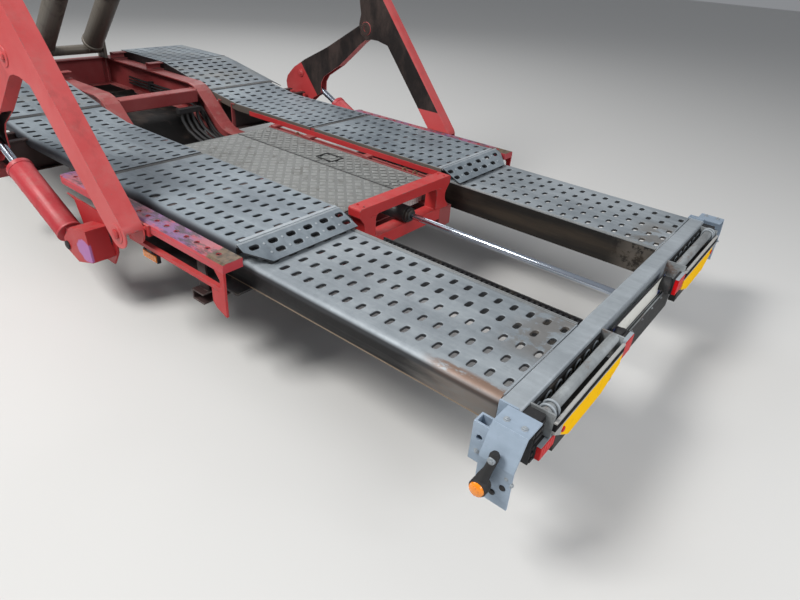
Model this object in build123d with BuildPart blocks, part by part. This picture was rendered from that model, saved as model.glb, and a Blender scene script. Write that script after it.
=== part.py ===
"""Rear loading deck of a car carrier: chassis tail, perforated decks, sliding extension and lift legs."""
from build123d import *
from math import asin, cos, degrees, hypot, radians, sin
import os

os.makedirs("parts", exist_ok=True)

# All sizes in millimetres. X runs to the rear, Y to the vehicle's right and Z up.
# X = 0 is the front face where the section joins the truck, and Z = 0 the top of the rear deck plates.
SIDES = (("left", -1), ("right", 1))
LOOSE = 5          # gap between pieces that pass each other
SEAT = 0.3         # gap of a piece that slides or rests on its seat
FIT = 1            # a bore is this much wider than its pin
WALL = 8           # plate of which brackets and channels are made
PIN_D = 40

# Places along the vehicle
HUMP_FRONT = 140
HUMP_RIDGE = 800
DECK_FRONT = 1400
DECK_BEND = 1750
DECK_SEAM = 2567
SEAM_GAP = 44
FLAP_HINGE = 3665
RAIL_TAIL = FLAP_HINGE + 95
TAIL_REACH = 1173
BEAM_FRONT = RAIL_TAIL + TAIL_REACH

# Chassis rails, high over the axle and low under the rear deck
RAIL_IN = 310
RAIL_OUT = RAIL_IN + 115
RAIL_WALL = 10
RAIL_TOP = 95
RAIL_HEIGHT = 230
LOW_TOP = -190
NECK_START = 1390
NECK_END = 1710
NECK_EASE = 70
WEB_IN = (RAIL_IN + RAIL_OUT - RAIL_WALL) / 2
WEB_OUT = WEB_IN + RAIL_WALL

# Fixed perforated deck
DECK_IN = RAIL_OUT + 7
DECK_WIDTH = 610
DECK_ROUND = 30
DECK_OUT = DECK_IN + DECK_WIDTH
SHEET = 5
FLANGE = 50
RISE = 45
HUMP_Z = 155
HUMP_LAP = 12
WING_DROP = 55
CURB_OUT = RAIL_IN + 75
CURB_WALL = 12
CURB_FRONT = 2180
CURB_TOP = -64
RIB_WIDTH = 50
# front edge and width of each rib, the second under the seam
RIBS = ((2200, RIB_WIDTH), (DECK_SEAM - 35, 70), (3080, RIB_WIDTH), (3580, RIB_WIDTH))

# Side rails, their lower chords and end posts
SIDE_IN = DECK_OUT + 18
SIDE_OUT = SIDE_IN + 100
WING_OUT = SIDE_OUT
SIDE_TOP = -22
SIDE_HEIGHT = 42
SIDE_WALL = 6
SIDE_FRONT = 2380
SIDE_END = FLAP_HINGE + 65
SIDE_ROUND = 18
HOLE_D = 24
HOLE_PITCH = 75
HOLE_LAST = 3640
HOLES = 17
CHORD_TOP = -140
CHORD_HEIGHT = 20
CHORD_FRONT = 3000
POST_LOW = -275

# Cross members
CROSS_WIDTH = 80
CROSS_DROP = 24
CROSS_HEIGHT = 53
CROSS_FRONT = 1830
CROSS_REAR = 3500
UPRIGHT_WIDTH = 60
FRONT_LENGTH = 80
TIE_PLACE = 1380
TIE_WIDTH = 100
TIE_HEIGHT = 90
TIE_TOP = 60

# Portal over the extension cylinder
PORTAL_LENGTH = 80
PORTAL_BEAM = 55
PORTAL_REACH = 48
PORTAL_WAIST = 38
SILL_TOP = -180
SILL_HEIGHT = 70

# Sliding extension
EXT_IN = DECK_IN + 18
EXT_OUT = SIDE_IN - 30
EXT_TOP = -71
EXT_DEPTH = 150        # of the inner wall and of the outer one
EXT_SIDE = 108
EXT_WALL = 6
EXT_ROUND = 34
EXT_FRONT = 3150
GUIDE_FRONT = 2605
GUIDE_REAR = SIDE_END
LEDGE = 20
HANGER = 50          # from the ledge to the plates that hang it from the side rails
BEAM_LENGTH = 77
BEAM_TOP = -76
BEAM_HEIGHT = 110
BEAM_REAR = BEAM_FRONT + BEAM_LENGTH

# Flaps over the step down to the extension
FLAP_LENGTH = 128
FLAP_ROLL = 7
FLAP_TIP = 12
FLAP_CUT = 90

# Extension cylinder and the cable chain beside it
RAM_Z = -131
ROD_D = 32
ROD_HELD = 160
BARREL_D = 90
BARREL_BORE = 74
BARREL_FRONT = 2330
GLAND = (110, 106, 60)
CHAIN_TOP = -78
CHAIN_HEIGHT = 65
CHAIN_WIDTH = 58
CHAIN_LENGTH = 1010

# Hatch between the rails
HATCH_TOP = -70
HATCH_REAR = 3605
HATCH_HALF = CURB_OUT - CURB_WALL - SEAT
HATCH_SPLIT = 100
HATCH_SHEET = 6
HATCH_EDGE = 30
LID_ROLL = 5
LID_HINGE_Y = HATCH_HALF - LID_ROLL - 2
LID_HINGE_Z = HATCH_TOP - HATCH_SHEET + LID_ROLL

# Lift linkage at each side: the arm turns at the pivot, the leg stands on its foot, and both meet at the hub
LEG_WIDTH = 92
LEG_Y = SIDE_OUT + 16 + LEG_WIDTH / 2
LEG_PLATE = 8
LEG_DEPTH = 140
LEG_LENGTH = 1900
LINK = 973
REST_ANGLE = 39.6
PIVOT_X = 1620
PIVOT_Z = -60
HUB_UP = 176
ARM_WIDTH = 66
ARM_PLATE = 8
EYE_R = 58
PIVOT_R = 65
ELBOW_ALONG = 138
ELBOW_UP = 136
ELBOW_PIN_D = 32
# outlines along and above the line from pivot to hub, and along and ahead of the leg's centre line
ARM_OUTLINE = ((LINK - 21, 55), (LINK - 148, 76), (534, 124), (242, 193), (87, 216), (-23, 207),
               (-69, 180), (-100, 122), (-90, 16), (-26, -63), (52, -95), (155, -95), (243, -110),
               (299, -46), (363, -27), (553, -52), (LINK - 249, -51), (LINK - 130, -48), (LINK - 15, -55))
ARM_FORK = ((-259, 32), (204, -350), (414, -96), (553, -60), (522, 35), (290, 162), (229, 277), (-4, 341))
ARM_HOLLOW = ((268, 168), (LINK - 164, 68), (LINK - 77, 50), (LINK - 118, -32), (LINK - 252, -42),
              (551, -43))
HUB_ALONG = (LINK ** 2 - HUB_UP ** 2) ** 0.5
LEG_GUSSET = ((HUB_ALONG + 243, 60), (HUB_ALONG + 183, 115), (HUB_ALONG + 106, 158), (HUB_ALONG + 63, 215),
              (HUB_ALONG, 240), (HUB_ALONG - 67, 222), (HUB_ALONG - 89, 175), (HUB_ALONG - 127, 130),
              (HUB_ALONG - 217, 60))

# Side cylinders: pin at the chassis, barrel and rod
CYL_AHEAD = 559
CYL_Z = -313
CYL_D = 128
CYL_SHARE = 0.575
CYL_HEAD = 75
CYL_END = 20
CYL_LUG = 50
CYL_LUG_R = 45
CYL_ROD_D = 44
CYL_ROD_HELD = 220
ROD_EYE = 40
ROD_EYE_R = 36
ROD_EYE_BORE = 48
# outlines of its bracket, behind the cylinder's pin and up
GUSSET_IN = min(SIDE_OUT - 14, LEG_Y - CYL_D / 2 - 12)
GUSSET = ((-170, -112), (-90, -125), (-45, -250), (-60, -385), (215, -385), (275, -300), (300, -118),
          (140, -118))
HOOD_OUT = LEG_Y + 50
HOOD = ((-25, -275), (-45, -332), (86, -378), (248, -327), (234, -162), (64, -195))
HOOD_COVER = ((64, -195), (234, -162), (248, -327), (240, -327), (226, -171), (65, -203))

# Rear end of the extension
BAR_X = BEAM_REAR + 52
BAR_Z = -100
BAR_D = 42
BAR_OUT = EXT_OUT - 70
BAR_IN = EXT_IN - 50
BOARD_X = BEAM_REAR + 87
BOARD_WALL = 12
BOARD_TOP = -105
BOARD_HEIGHT = 150
BOARD_TAPER = 140
LAMP_HEIGHT = 55
LAMP_LENGTH = 105
LAMP_WALL = 20
PLATE_HALF = 330
PLATE_TOP = -105
PLATE_HEIGHT = 112
PLATE_X = BEAM_REAR + 18
BUFFER_Y = 290
BUFFER_Z = -150
BUFFER_D = 72
SKIRT_DROP = 20
# cross section of an end bracket, out from the beam's end and up
BRACKET = ((10, -66), (100, -66), (152, -170), (145, -330), (137, -330), (143, -172), (95, -74), (10, -74))
BRACKET_FRONT = BEAM_FRONT + 37
BRACKET_REAR = BRACKET_FRONT + 118
SOCKET = 55
MARKER_Z = -155
MARKER_D = 52

# Centre props that carry the upper deck
PROP_X = 70
PROP_Z = 170
PROP_Y = 200
PROP_ANGLE = 43
PROP_D = 158
SLEEVE_D = 190
PROP_LENGTH = 1100
SLEEVE_START = 760
SLEEVE_END = 1640
PROP_FOOT = 90
SHAFT_D = 76
EAR = 25
EAR_HALF = 60
EAR_TOP = 235


def across(side, inner, outer):
    """A plane at a piece's right face, x along the vehicle and y up: extruding goes to the left."""
    return Plane(origin=(0, max(side * inner, side * outer), 0), x_dir=(1, 0, 0), z_dir=(0, -1, 0))


def section(x):
    """A plane across the vehicle, x to its right and y up: extruding goes to the rear."""
    return Plane(origin=(x, 0, 0), x_dir=(0, 1, 0), z_dir=(1, 0, 0))


def turned(x, z, along, up, angle):
    """A point given along and above a line that leaves (x, z) at an angle."""
    a = radians(angle)
    return (x + along * cos(a) - up * sin(a), z + along * sin(a) + up * cos(a))


def save(part, name):
    """Labels a finished piece and writes its file."""
    part.label = name
    export_step(part, f"parts/{name}.step")


def block(x0, x1, y0, y1, z0, z1, mode=Mode.ADD):
    """Adds a plain bar or plate between two corners to the part that is being made."""
    with BuildSketch(Plane.XY.offset(z0)) as base:
        with Locations(((x0 + x1) / 2, (y0 + y1) / 2)):
            Rectangle(x1 - x0, abs(y1 - y0))
    extrude(base.sketch, amount=z1 - z0, mode=mode)


def panel(side, inner, outer, points, mode=Mode.ADD):
    """Adds a plate that stands along the vehicle, from its outline."""
    with BuildSketch(across(side, inner, outer)) as face:
        with BuildLine():
            Polyline(*points, close=True)
        make_face()
    extrude(face.sketch, amount=abs(outer - inner), mode=mode)


def disc(side, inner, outer, centres, radius, mode=Mode.ADD):
    """Adds round bosses or pins, or cuts bores, that run across the vehicle."""
    with BuildSketch(across(side, inner, outer)) as face:
        with Locations(*centres):
            Circle(radius)
    extrude(face.sketch, amount=abs(outer - inner), mode=mode)


def profile(x0, x1, points, mode=Mode.ADD):
    """Adds a bar along the vehicle, from its cross section."""
    with BuildSketch(section(x0)) as face:
        with BuildLine():
            Polyline(*points, close=True)
        make_face()
    extrude(face.sketch, amount=x1 - x0, mode=mode)


def eased(points, cuts):
    """An outline with some corners rounded by three points, each at its distance from the corner."""
    result = []
    for i, (x, z) in enumerate(points):
        ends = []
        for u, v in (points[i - 1], points[(i + 1) % len(points)]):
            share = cuts.get(i, 0) / hypot(u - x, v - z)
            ends.append((x + (u - x) * share, z + (v - z) * share))
        if i in cuts:
            (a, b), (c, d) = ends
            result += [ends[0], (x * 0.4 + (a + c) * 0.3, z * 0.4 + (b + d) * 0.3), ends[1]]
        else:
            result.append((x, z))
    return result


def channel(x0, x1, y0, y1, z0, z1):
    """Adds a channel across the vehicle, open to the rear."""
    block(x0, x0 + WALL, y0, y1, z0, z1)
    block(x0, x1, y0, y1, z0, z0 + WALL)
    block(x0, x1, y0, y1, z1 - WALL, z1)


def ramp(x):
    """Height of the sloping front of the mid deck."""
    return RISE * (DECK_BEND - x) / (DECK_BEND - DECK_FRONT)


HUB = turned(PIVOT_X, PIVOT_Z, LINK, 0, REST_ANGLE)
FOOT = (2 * HUB[0] - PIVOT_X, PIVOT_Z)
ELBOW = turned(PIVOT_X, PIVOT_Z, ELBOW_ALONG, ELBOW_UP, REST_ANGLE)
LEG_ANGLE = 180 - REST_ANGLE - degrees(asin(HUB_UP / LINK))
CYL_X = FOOT[0] - CYL_AHEAD
CROSS_TOP = EXT_TOP - EXT_DEPTH - CROSS_DROP
CROSS_LOW = CROSS_TOP - CROSS_HEIGHT
LOW_BOTTOM = CROSS_LOW - 12
UPRIGHTS = (CYL_X + 75, CROSS_REAR)

# Chassis rails
neck = eased(((0, RAIL_TOP - RAIL_HEIGHT), (0, RAIL_TOP), (NECK_START, RAIL_TOP), (NECK_END, LOW_TOP),
              (RAIL_TAIL, LOW_TOP), (RAIL_TAIL, LOW_BOTTOM), (NECK_END - 130, LOW_BOTTOM),
              (NECK_START - 60, RAIL_TOP - RAIL_HEIGHT)),
             {2: NECK_EASE, 3: NECK_EASE, 6: NECK_EASE, 7: NECK_EASE})
for name, side in SIDES:
    with BuildPart() as rail:
        with BuildSketch(across(side, RAIL_IN, RAIL_OUT)) as outline:
            with BuildLine():
                Polyline(*neck, close=True)
            make_face()
        extrude(amount=RAIL_OUT - RAIL_IN)
        # the web is cut back from both faces
        flange = (RAIL_OUT - RAIL_IN - RAIL_WALL) / 2
        for y in (max(side * RAIL_IN, side * RAIL_OUT), min(side * RAIL_IN, side * RAIL_OUT) + flange):
            with BuildSketch(Plane(origin=(0, y, 0), x_dir=(1, 0, 0), z_dir=(0, -1, 0))):
                add(outline.sketch_local.face())
                offset(amount=-RAIL_WALL, mode=Mode.REPLACE)
            extrude(amount=flange, mode=Mode.SUBTRACT)
    save(rail.part, f"chassis_rail_{name}")

# Cross members between and under the rails
with BuildPart() as front:
    channel(0, FRONT_LENGTH, -RAIL_IN, RAIL_IN, RAIL_TOP - RAIL_HEIGHT, RAIL_TOP)
save(front.part, "front_cross_member")

with BuildPart() as tie:
    with BuildSketch(across(1, RAIL_IN, -RAIL_IN)):
        with Locations((TIE_PLACE, TIE_TOP - TIE_HEIGHT / 2)):
            RectangleRounded(TIE_WIDTH, TIE_HEIGHT, 8)
            Rectangle(TIE_WIDTH - 2 * WALL, TIE_HEIGHT - 2 * WALL, mode=Mode.SUBTRACT)
    extrude(amount=2 * RAIL_IN)
save(tie.part, "neck_cross_tube")

with BuildPart() as under:
    half = CROSS_WIDTH / 2
    for x in (CROSS_FRONT, *UPRIGHTS):
        channel(x - half, x + half, -WEB_IN, WEB_IN, CROSS_LOW, CROSS_TOP)
    for name, side in SIDES:
        for x in UPRIGHTS:
            channel(x - half, x + half, side * WEB_OUT, side * GUSSET_IN, CROSS_LOW, CROSS_TOP)
            y = side * (EXT_OUT + LEDGE + HANGER + WALL)
            block(x - UPRIGHT_WIDTH / 2, x + UPRIGHT_WIDTH / 2, y - WALL / 2, y + WALL / 2, CROSS_TOP,
                  SIDE_TOP - SIDE_WALL)
    # a saddle under the front end of the extension cylinder
    block(BARREL_FRONT + 10, BARREL_FRONT + 70, -RAIL_IN, RAIL_IN, LOW_TOP - RAIL_WALL, RAM_Z - BARREL_D / 2)
save(under.part, "cross_members")

# Ledges on which the extension's walls slide
with BuildPart() as guides:
    for name, side in SIDES:
        z = EXT_TOP - EXT_DEPTH - SEAT
        block(GUIDE_FRONT, GUIDE_REAR, side * WEB_OUT, side * (EXT_IN + LEDGE), z - RAIL_WALL, z)
        y, z = EXT_OUT + LEDGE + HANGER + WALL / 2, EXT_TOP - EXT_SIDE - SEAT
        block(GUIDE_FRONT, GUIDE_REAR, side * (EXT_OUT - LEDGE), side * y, z - RAIL_WALL, z)
save(guides.part, "slide_guides")

# Side rails with a row of holes in the top face
with BuildPart() as side_rails:
    low, c = SIDE_TOP - SIDE_HEIGHT, SIDE_ROUND
    for name, side in SIDES:
        outer = ((SIDE_IN, low), (SIDE_IN, SIDE_TOP), (SIDE_OUT - c, SIDE_TOP),
                 (SIDE_OUT - c * 0.3, SIDE_TOP - c * 0.3), (SIDE_OUT, SIDE_TOP - c), (SIDE_OUT, low))
        inner = ((SIDE_OUT - SIDE_WALL, low), (SIDE_OUT - SIDE_WALL, SIDE_TOP - c),
                 (SIDE_OUT - c, SIDE_TOP - SIDE_WALL), (SIDE_IN + SIDE_WALL, SIDE_TOP - SIDE_WALL),
                 (SIDE_IN + SIDE_WALL, low))
        profile(SIDE_FRONT, SIDE_END, [(side * y, z) for y, z in outer + inner])
        w = SIDE_WALL / 2
        block(SIDE_END - 2 * w, SIDE_END, side * (SIDE_IN + w), side * (SIDE_OUT - w), low, SIDE_TOP - w)
        middle = side * (SIDE_IN + SIDE_OUT) / 2
        with BuildSketch(Plane.XY.offset(SIDE_TOP - 2 * SIDE_WALL)):
            with Locations(*[(HOLE_LAST - n * HOLE_PITCH, middle) for n in range(HOLES)]):
                RegularPolygon(HOLE_D / 2, 8)
        extrude(amount=3 * SIDE_WALL, mode=Mode.SUBTRACT)
save(side_rails.part, "side_rails")

# Lower chords and end posts
with BuildPart() as posts:
    for name, side in SIDES:
        x, low = SIDE_END, CHORD_TOP - CHORD_HEIGHT
        block(CHORD_FRONT, x - 40, side * (SIDE_OUT - 24), side * SIDE_OUT, low, CHORD_TOP)
        panel(side, SIDE_OUT - 12, SIDE_OUT,
              ((x - 62, SIDE_TOP - SIDE_HEIGHT), (x, SIDE_TOP - SIDE_HEIGHT), (x - 6, POST_LOW),
               (x - 70, POST_LOW + 25), (x - 92, POST_LOW + 48), (x - 92, low - 1), (x - 40, low - 1),
               (x - 40, CHORD_TOP + 1), (x - 28, CHORD_TOP + 1), (x - 30, CHORD_TOP + 38)))
save(posts.part, "side_posts")

# Rear portal with waisted legs, closed below by a sill
with BuildPart() as portal:
    half, leg, waist = CURB_OUT, RAIL_IN - PORTAL_REACH, CURB_OUT - PORTAL_WAIST
    right = ((half, LOW_TOP), (half, LOW_TOP + 12), (waist, -135), (waist, -90), (half, -45), (half, 0))
    hole = ((leg, LOW_TOP), (leg, -PORTAL_BEAM))
    outline = [*right, *[(-y, z) for y, z in reversed(right)]]
    opening = [*hole, *[(-y, z) for y, z in reversed(hole)]]
    x = RAIL_TAIL - PORTAL_LENGTH
    profile(x, RAIL_TAIL, eased(outline, {2: 14, 3: 14, 5: 10, 6: 10, 8: 14, 9: 14}))
    profile(x, RAIL_TAIL, eased(opening, {1: 22, 2: 22}), Mode.SUBTRACT)
    block(x, RAIL_TAIL, -RAIL_IN, RAIL_IN, SILL_TOP - SILL_HEIGHT, SILL_TOP)
save(portal.part, "rear_portal")

# Curbs and ribs that carry the deck plates: each rib stands on a bar that reaches to the side rail
with BuildPart() as ribs:
    tail = RAIL_TAIL - PORTAL_LENGTH
    for name, side in SIDES:
        block(CURB_FRONT, tail, side * CURB_OUT, side * (CURB_OUT - CURB_WALL), LOW_TOP, CURB_TOP)
        for x, width in RIBS:
            reach = SIDE_IN if x > SIDE_FRONT else DECK_OUT
            block(x, x + width, side * (CURB_OUT - CURB_WALL), side * reach, CURB_TOP, -FLANGE)
            block(x, x + width, side * (DECK_IN + SHEET), side * (DECK_OUT - DECK_ROUND), -FLANGE, -SHEET)
    # the cable chain runs on the left, so only the right rail has a plate up to the ribs
    block(CURB_FRONT, tail, RAIL_OUT - CURB_WALL, RAIL_OUT, LOW_TOP, CURB_TOP)
save(ribs.part, "deck_ribs")

# Outriggers under the hump and the front of the deck
with BuildPart() as outriggers:
    for name, side in SIDES:
        for x in (PIVOT_X - 100, PIVOT_X + 60):
            z = min(0, ramp(x + 40)) - SHEET
            channel(x, x + 40, side * RAIL_OUT, side * SIDE_OUT, LOW_TOP - RAIL_WALL, z)
        for x in (HUMP_FRONT + 30, HUMP_RIDGE - 60):
            channel(x, x + 60, side * RAIL_IN, side * DECK_OUT, RAIL_TOP, HUMP_Z - SHEET)
        x = DECK_FRONT + 30
        channel(x - 60, x, side * WEB_OUT, side * DECK_OUT, -20, ramp(x) - SHEET)
save(outriggers.part, "outriggers")

# Fixed deck plates: folded sheets, flanged down along both edges
def wing(side, z):
    """Cross section of the sloping edge of a hump plate whose top is at a height."""
    return [(side * DECK_OUT, z), (side * WING_OUT, z - WING_DROP),
            (side * WING_OUT, z - WING_DROP - SHEET), (side * DECK_OUT, z - SHEET)]


for name, side in SIDES:
    folded = [(side * y, z) for y, z in eased(
        ((DECK_IN, -FLANGE), (DECK_IN, 0), (DECK_OUT, 0), (DECK_OUT, -FLANGE),
         (DECK_OUT - SHEET, -FLANGE), (DECK_OUT - SHEET, -SHEET), (DECK_IN + SHEET, -SHEET),
         (DECK_IN + SHEET, -FLANGE)),
        {2: DECK_ROUND, 5: DECK_ROUND - SHEET})]
    with BuildPart() as rear_deck:
        profile(DECK_SEAM + SEAM_GAP / 2, FLAP_HINGE - FLAP_ROLL - SEAT, folded)
    save(rear_deck.part, f"rear_deck_{name}")

    with BuildPart() as mid_deck:
        end = DECK_SEAM - SEAM_GAP / 2
        panel(side, DECK_IN, DECK_OUT - DECK_ROUND,
              ((DECK_FRONT, RISE), (DECK_BEND, 0), (end, 0), (end, -SHEET), (DECK_BEND, -SHEET),
               (DECK_FRONT, RISE - SHEET)))
        panel(side, DECK_OUT - DECK_ROUND, DECK_OUT,
              ((DECK_FRONT, RISE), (DECK_BEND, 0), (DECK_BEND, -SHEET), (DECK_FRONT, RISE - SHEET)))
        profile(DECK_BEND, end, folded)
    save(mid_deck.part, f"mid_deck_{name}")

    # the hump's outer edge slopes down as a plain wing
    with BuildPart() as hump:
        rear = DECK_FRONT + HUMP_LAP
        lap = ramp(rear) + SHEET
        panel(side, DECK_IN, DECK_OUT,
              ((HUMP_FRONT, HUMP_Z), (HUMP_RIDGE, HUMP_Z), (rear, lap), (rear, lap - SHEET),
               (HUMP_RIDGE, HUMP_Z - SHEET), (HUMP_FRONT, HUMP_Z - SHEET)))
        profile(HUMP_FRONT, HUMP_RIDGE, wing(side, HUMP_Z))
        with BuildSketch(section(HUMP_RIDGE)) as near:
            with BuildLine():
                Polyline(*wing(side, HUMP_Z), close=True)
            make_face()
        with BuildSketch(section(rear)) as far:
            with BuildLine():
                Polyline(*wing(side, lap), close=True)
            make_face()
        loft([near.sketch.face(), far.sketch.face()], ruled=True)
    save(hump.part, f"hump_deck_{name}")

    # Flap over the step to the extension
    with BuildPart() as flap:
        tip = FLAP_HINGE + FLAP_LENGTH
        disc(side, DECK_IN + 4, DECK_OUT - 4, ((FLAP_HINGE, -SHEET / 2),), FLAP_ROLL)
        panel(side, DECK_IN + 4, DECK_OUT - 4,
              ((FLAP_HINGE, SHEET / 2), (tip, EXT_TOP + LOOSE + FLAP_TIP), (tip, EXT_TOP + LOOSE),
               (FLAP_HINGE, -FLAP_ROLL)))
        with BuildSketch(Plane.XY.offset(2 * EXT_TOP)):
            with BuildLine():
                Polyline((tip - FLAP_CUT, side * DECK_OUT), (tip + 1, side * DECK_OUT),
                         (tip + 1, side * (DECK_OUT - FLAP_CUT)), close=True)
            make_face()
        extrude(amount=-3 * EXT_TOP, mode=Mode.SUBTRACT)
    save(flap.part, f"flap_{name}")

# Hatch: a fixed tread plate and a lid beside it
with BuildPart() as hatch:
    under, edge = HATCH_TOP - HATCH_SHEET, HATCH_HALF - HATCH_EDGE
    block(CURB_FRONT, HATCH_REAR, -HATCH_HALF, HATCH_SPLIT, under, HATCH_TOP)
    block(CURB_FRONT, HATCH_REAR, -HATCH_HALF, -edge, LOW_TOP, under)
    block(CURB_FRONT, HATCH_REAR, HATCH_SPLIT - HATCH_EDGE, HATCH_SPLIT + 20, under - 2 * HATCH_SHEET, under)
    block(CURB_FRONT, HATCH_REAR, edge, HATCH_HALF, LOW_TOP, under - SEAT)
    block(CURB_FRONT, CURB_FRONT + HATCH_EDGE, -edge, edge, under - 2 * HATCH_SHEET, under - SEAT)
save(hatch.part, "hatch_plate")

with BuildPart() as lid:
    block(CURB_FRONT, HATCH_REAR, HATCH_SPLIT + 3, LID_HINGE_Y, HATCH_TOP - HATCH_SHEET + SEAT, HATCH_TOP)
    with BuildSketch(section(CURB_FRONT)):
        with Locations((LID_HINGE_Y, LID_HINGE_Z)):
            Circle(LID_ROLL)
    extrude(amount=HATCH_REAR - CURB_FRONT)
save(lid.part, "hatch_lid")

# Extension cylinder with its gland
with BuildPart() as barrel:
    with BuildSketch(section(BARREL_FRONT)):
        with Locations((0, RAM_Z)):
            Circle(BARREL_D / 2)
    extrude(amount=RAIL_TAIL - BARREL_FRONT)
    with BuildSketch(section(BARREL_FRONT + CYL_END)):
        with Locations((0, RAM_Z)):
            Circle(BARREL_BORE / 2)
    extrude(amount=RAIL_TAIL - BARREL_FRONT - CYL_END, mode=Mode.SUBTRACT)
save(barrel.part, "extension_barrel")

with BuildPart() as gland:
    width, height, length = GLAND
    with BuildSketch(section(RAIL_TAIL)):
        with Locations((0, RAM_Z)):
            Rectangle(width, height)
            Circle(ROD_D / 2 + FIT / 2, mode=Mode.SUBTRACT)
    extrude(amount=length)
save(gland.part, "extension_gland")

with BuildPart() as rod:
    with BuildSketch(section(RAIL_TAIL - ROD_HELD)):
        with Locations((0, RAM_Z)):
            Circle(ROD_D / 2)
    extrude(amount=TAIL_REACH + ROD_HELD)
save(rod.part, "extension_rod")

# Extension tracks, rounded along their outer edge
def rounded(radius):
    """The round from a track's top to its outer side."""
    return [(EXT_OUT - EXT_ROUND + radius * sin(radians(a)), EXT_TOP - EXT_ROUND + radius * cos(radians(a)))
            for a in (0, 30, 60, 90)]


for name, side in SIDES:
    with BuildPart() as track:
        low, outer, w = EXT_TOP - EXT_DEPTH, EXT_TOP - EXT_SIDE, EXT_WALL
        profile(EXT_FRONT, BEAM_FRONT, [(side * y, z) for y, z in (
            (EXT_IN, low), (EXT_IN, EXT_TOP), *rounded(EXT_ROUND), (EXT_OUT, outer), (EXT_OUT - w, outer),
            *reversed(rounded(EXT_ROUND - w)), (EXT_IN + w, EXT_TOP - w), (EXT_IN + w, low))])
    save(track.part, f"extension_track_{name}")

with BuildPart() as beam:
    with BuildSketch(across(1, EXT_OUT, -EXT_OUT)):
        with Locations((BEAM_FRONT + BEAM_LENGTH / 2, BEAM_TOP - BEAM_HEIGHT / 2)):
            RectangleRounded(BEAM_LENGTH, BEAM_HEIGHT, 8)
            Rectangle(BEAM_LENGTH - 2 * EXT_WALL, BEAM_HEIGHT - 2 * EXT_WALL, mode=Mode.SUBTRACT)
    extrude(amount=2 * EXT_OUT)
save(beam.part, "rear_cross_beam")

# Cable chain in its tray, beside the left track
with BuildPart() as chain:
    block(BEAM_FRONT - CHAIN_LENGTH, BEAM_FRONT, -EXT_IN, CHAIN_WIDTH - EXT_IN,
          CHAIN_TOP - CHAIN_HEIGHT, CHAIN_TOP)
save(chain.part, "cable_chain")

# Folded end brackets with a socket box at each end of the beam, drilled for the hooks
with BuildPart() as ends:
    for name, side in SIDES:
        profile(BRACKET_FRONT, BRACKET_REAR, [(side * (EXT_OUT + y), z) for y, z in BRACKET])
        y = EXT_OUT + WALL
        block(BEAM_FRONT + 5, BEAM_REAR - 5, side * EXT_OUT, side * y, BEAM_TOP - BEAM_HEIGHT + 5, -66)
        # a flange that ties the bracket to the beam's end
        block(BRACKET_FRONT, BRACKET_FRONT + WALL, side * y, side * (EXT_OUT + 100), -180, -70)
        x, y = BRACKET_FRONT - SOCKET, EXT_OUT + 60
        for a in (x, x + SOCKET - WALL):
            block(a, a + WALL, side * y, side * (y + 50), -250, -95)
        for b in (y, y + 50 - WALL):
            block(x, x + SOCKET, side * b, side * (b + WALL), -250, -95)
        inner, outer = y + 30, y + 100
        with BuildSketch(across(side, inner, outer)):
            with Locations((x + SOCKET / 2, -150), (BRACKET_REAR - 25, -245), (BRACKET_REAR - 55, -285)):
                RegularPolygon(11, 8)
        extrude(amount=outer - inner, mode=Mode.SUBTRACT)
save(ends.part, "end_brackets")

# Round bars behind the beam with the plates that hold them
with BuildPart() as bars:
    for name, side in SIDES:
        x, z = BEAM_REAR, BEAM_TOP
        for y in (BAR_IN - WALL, BAR_OUT):
            block(x, BOARD_X, side * y, side * (y + WALL), z - 100, z - 5)
        disc(side, BAR_IN, BAR_OUT, ((BAR_X, BAR_Z),), BAR_D / 2)
save(bars.part, "rear_bars")

with BuildPart() as panels:
    for name, side in SIDES:
        block(BEAM_REAR, BEAM_REAR + WALL, side * (BAR_IN + 4), side * (BAR_OUT - 4),
              BEAM_TOP - 90, BEAM_TOP - 20)
save(panels.part, "perforated_panels")

# Marking boards that narrow towards their outer ends, with a skirt and rubber buffers and a lamp at each end
with BuildPart() as boards:
    low = BOARD_TOP - BOARD_HEIGHT
    for name, side in SIDES:
        profile(BOARD_X, BOARD_X + BOARD_WALL, [(side * y, z) for y, z in (
            (BAR_IN - WALL, BOARD_TOP), (BAR_OUT + WALL, BOARD_TOP), (BAR_OUT + WALL, BOARD_TOP - 50),
            (BAR_OUT - BOARD_TAPER, low), (BAR_IN + BOARD_TAPER, low), (BAR_IN - WALL, BOARD_TOP - 97))])
save(boards.part, "light_boards")

with BuildPart() as skirt:
    for name, side in SIDES:
        block(BOARD_X - 30, BOARD_X, side * BAR_IN, side * (BAR_OUT - 50), low - SKIRT_DROP, BOARD_TOP - 80)
        with BuildSketch(section(PLATE_X + SIDE_WALL)):
            with Locations((side * BUFFER_Y, BUFFER_Z)):
                Circle(BUFFER_D / 2)
        extrude(amount=34)
save(skirt.part, "rear_skirt")

with BuildPart() as lamps:
    for name, side in SIDES:
        for y, z in ((BAR_IN - WALL - LAMP_LENGTH, BOARD_TOP - 20), (BAR_OUT - 45, BOARD_TOP - 75)):
            block(BOARD_X - LAMP_WALL, BOARD_X, side * y, side * (y + LAMP_LENGTH), z - LAMP_HEIGHT, z)
save(lamps.part, "board_lamps")

with BuildPart() as plate:
    block(PLATE_X, PLATE_X + SIDE_WALL, -PLATE_HALF, PLATE_HALF, PLATE_TOP - PLATE_HEIGHT, PLATE_TOP)
    for y in (-BUFFER_Y, BUFFER_Y):
        block(BEAM_REAR, PLATE_X, y - 25, y + 25, PLATE_TOP - 70, PLATE_TOP - 40)
save(plate.part, "number_plate")

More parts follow.
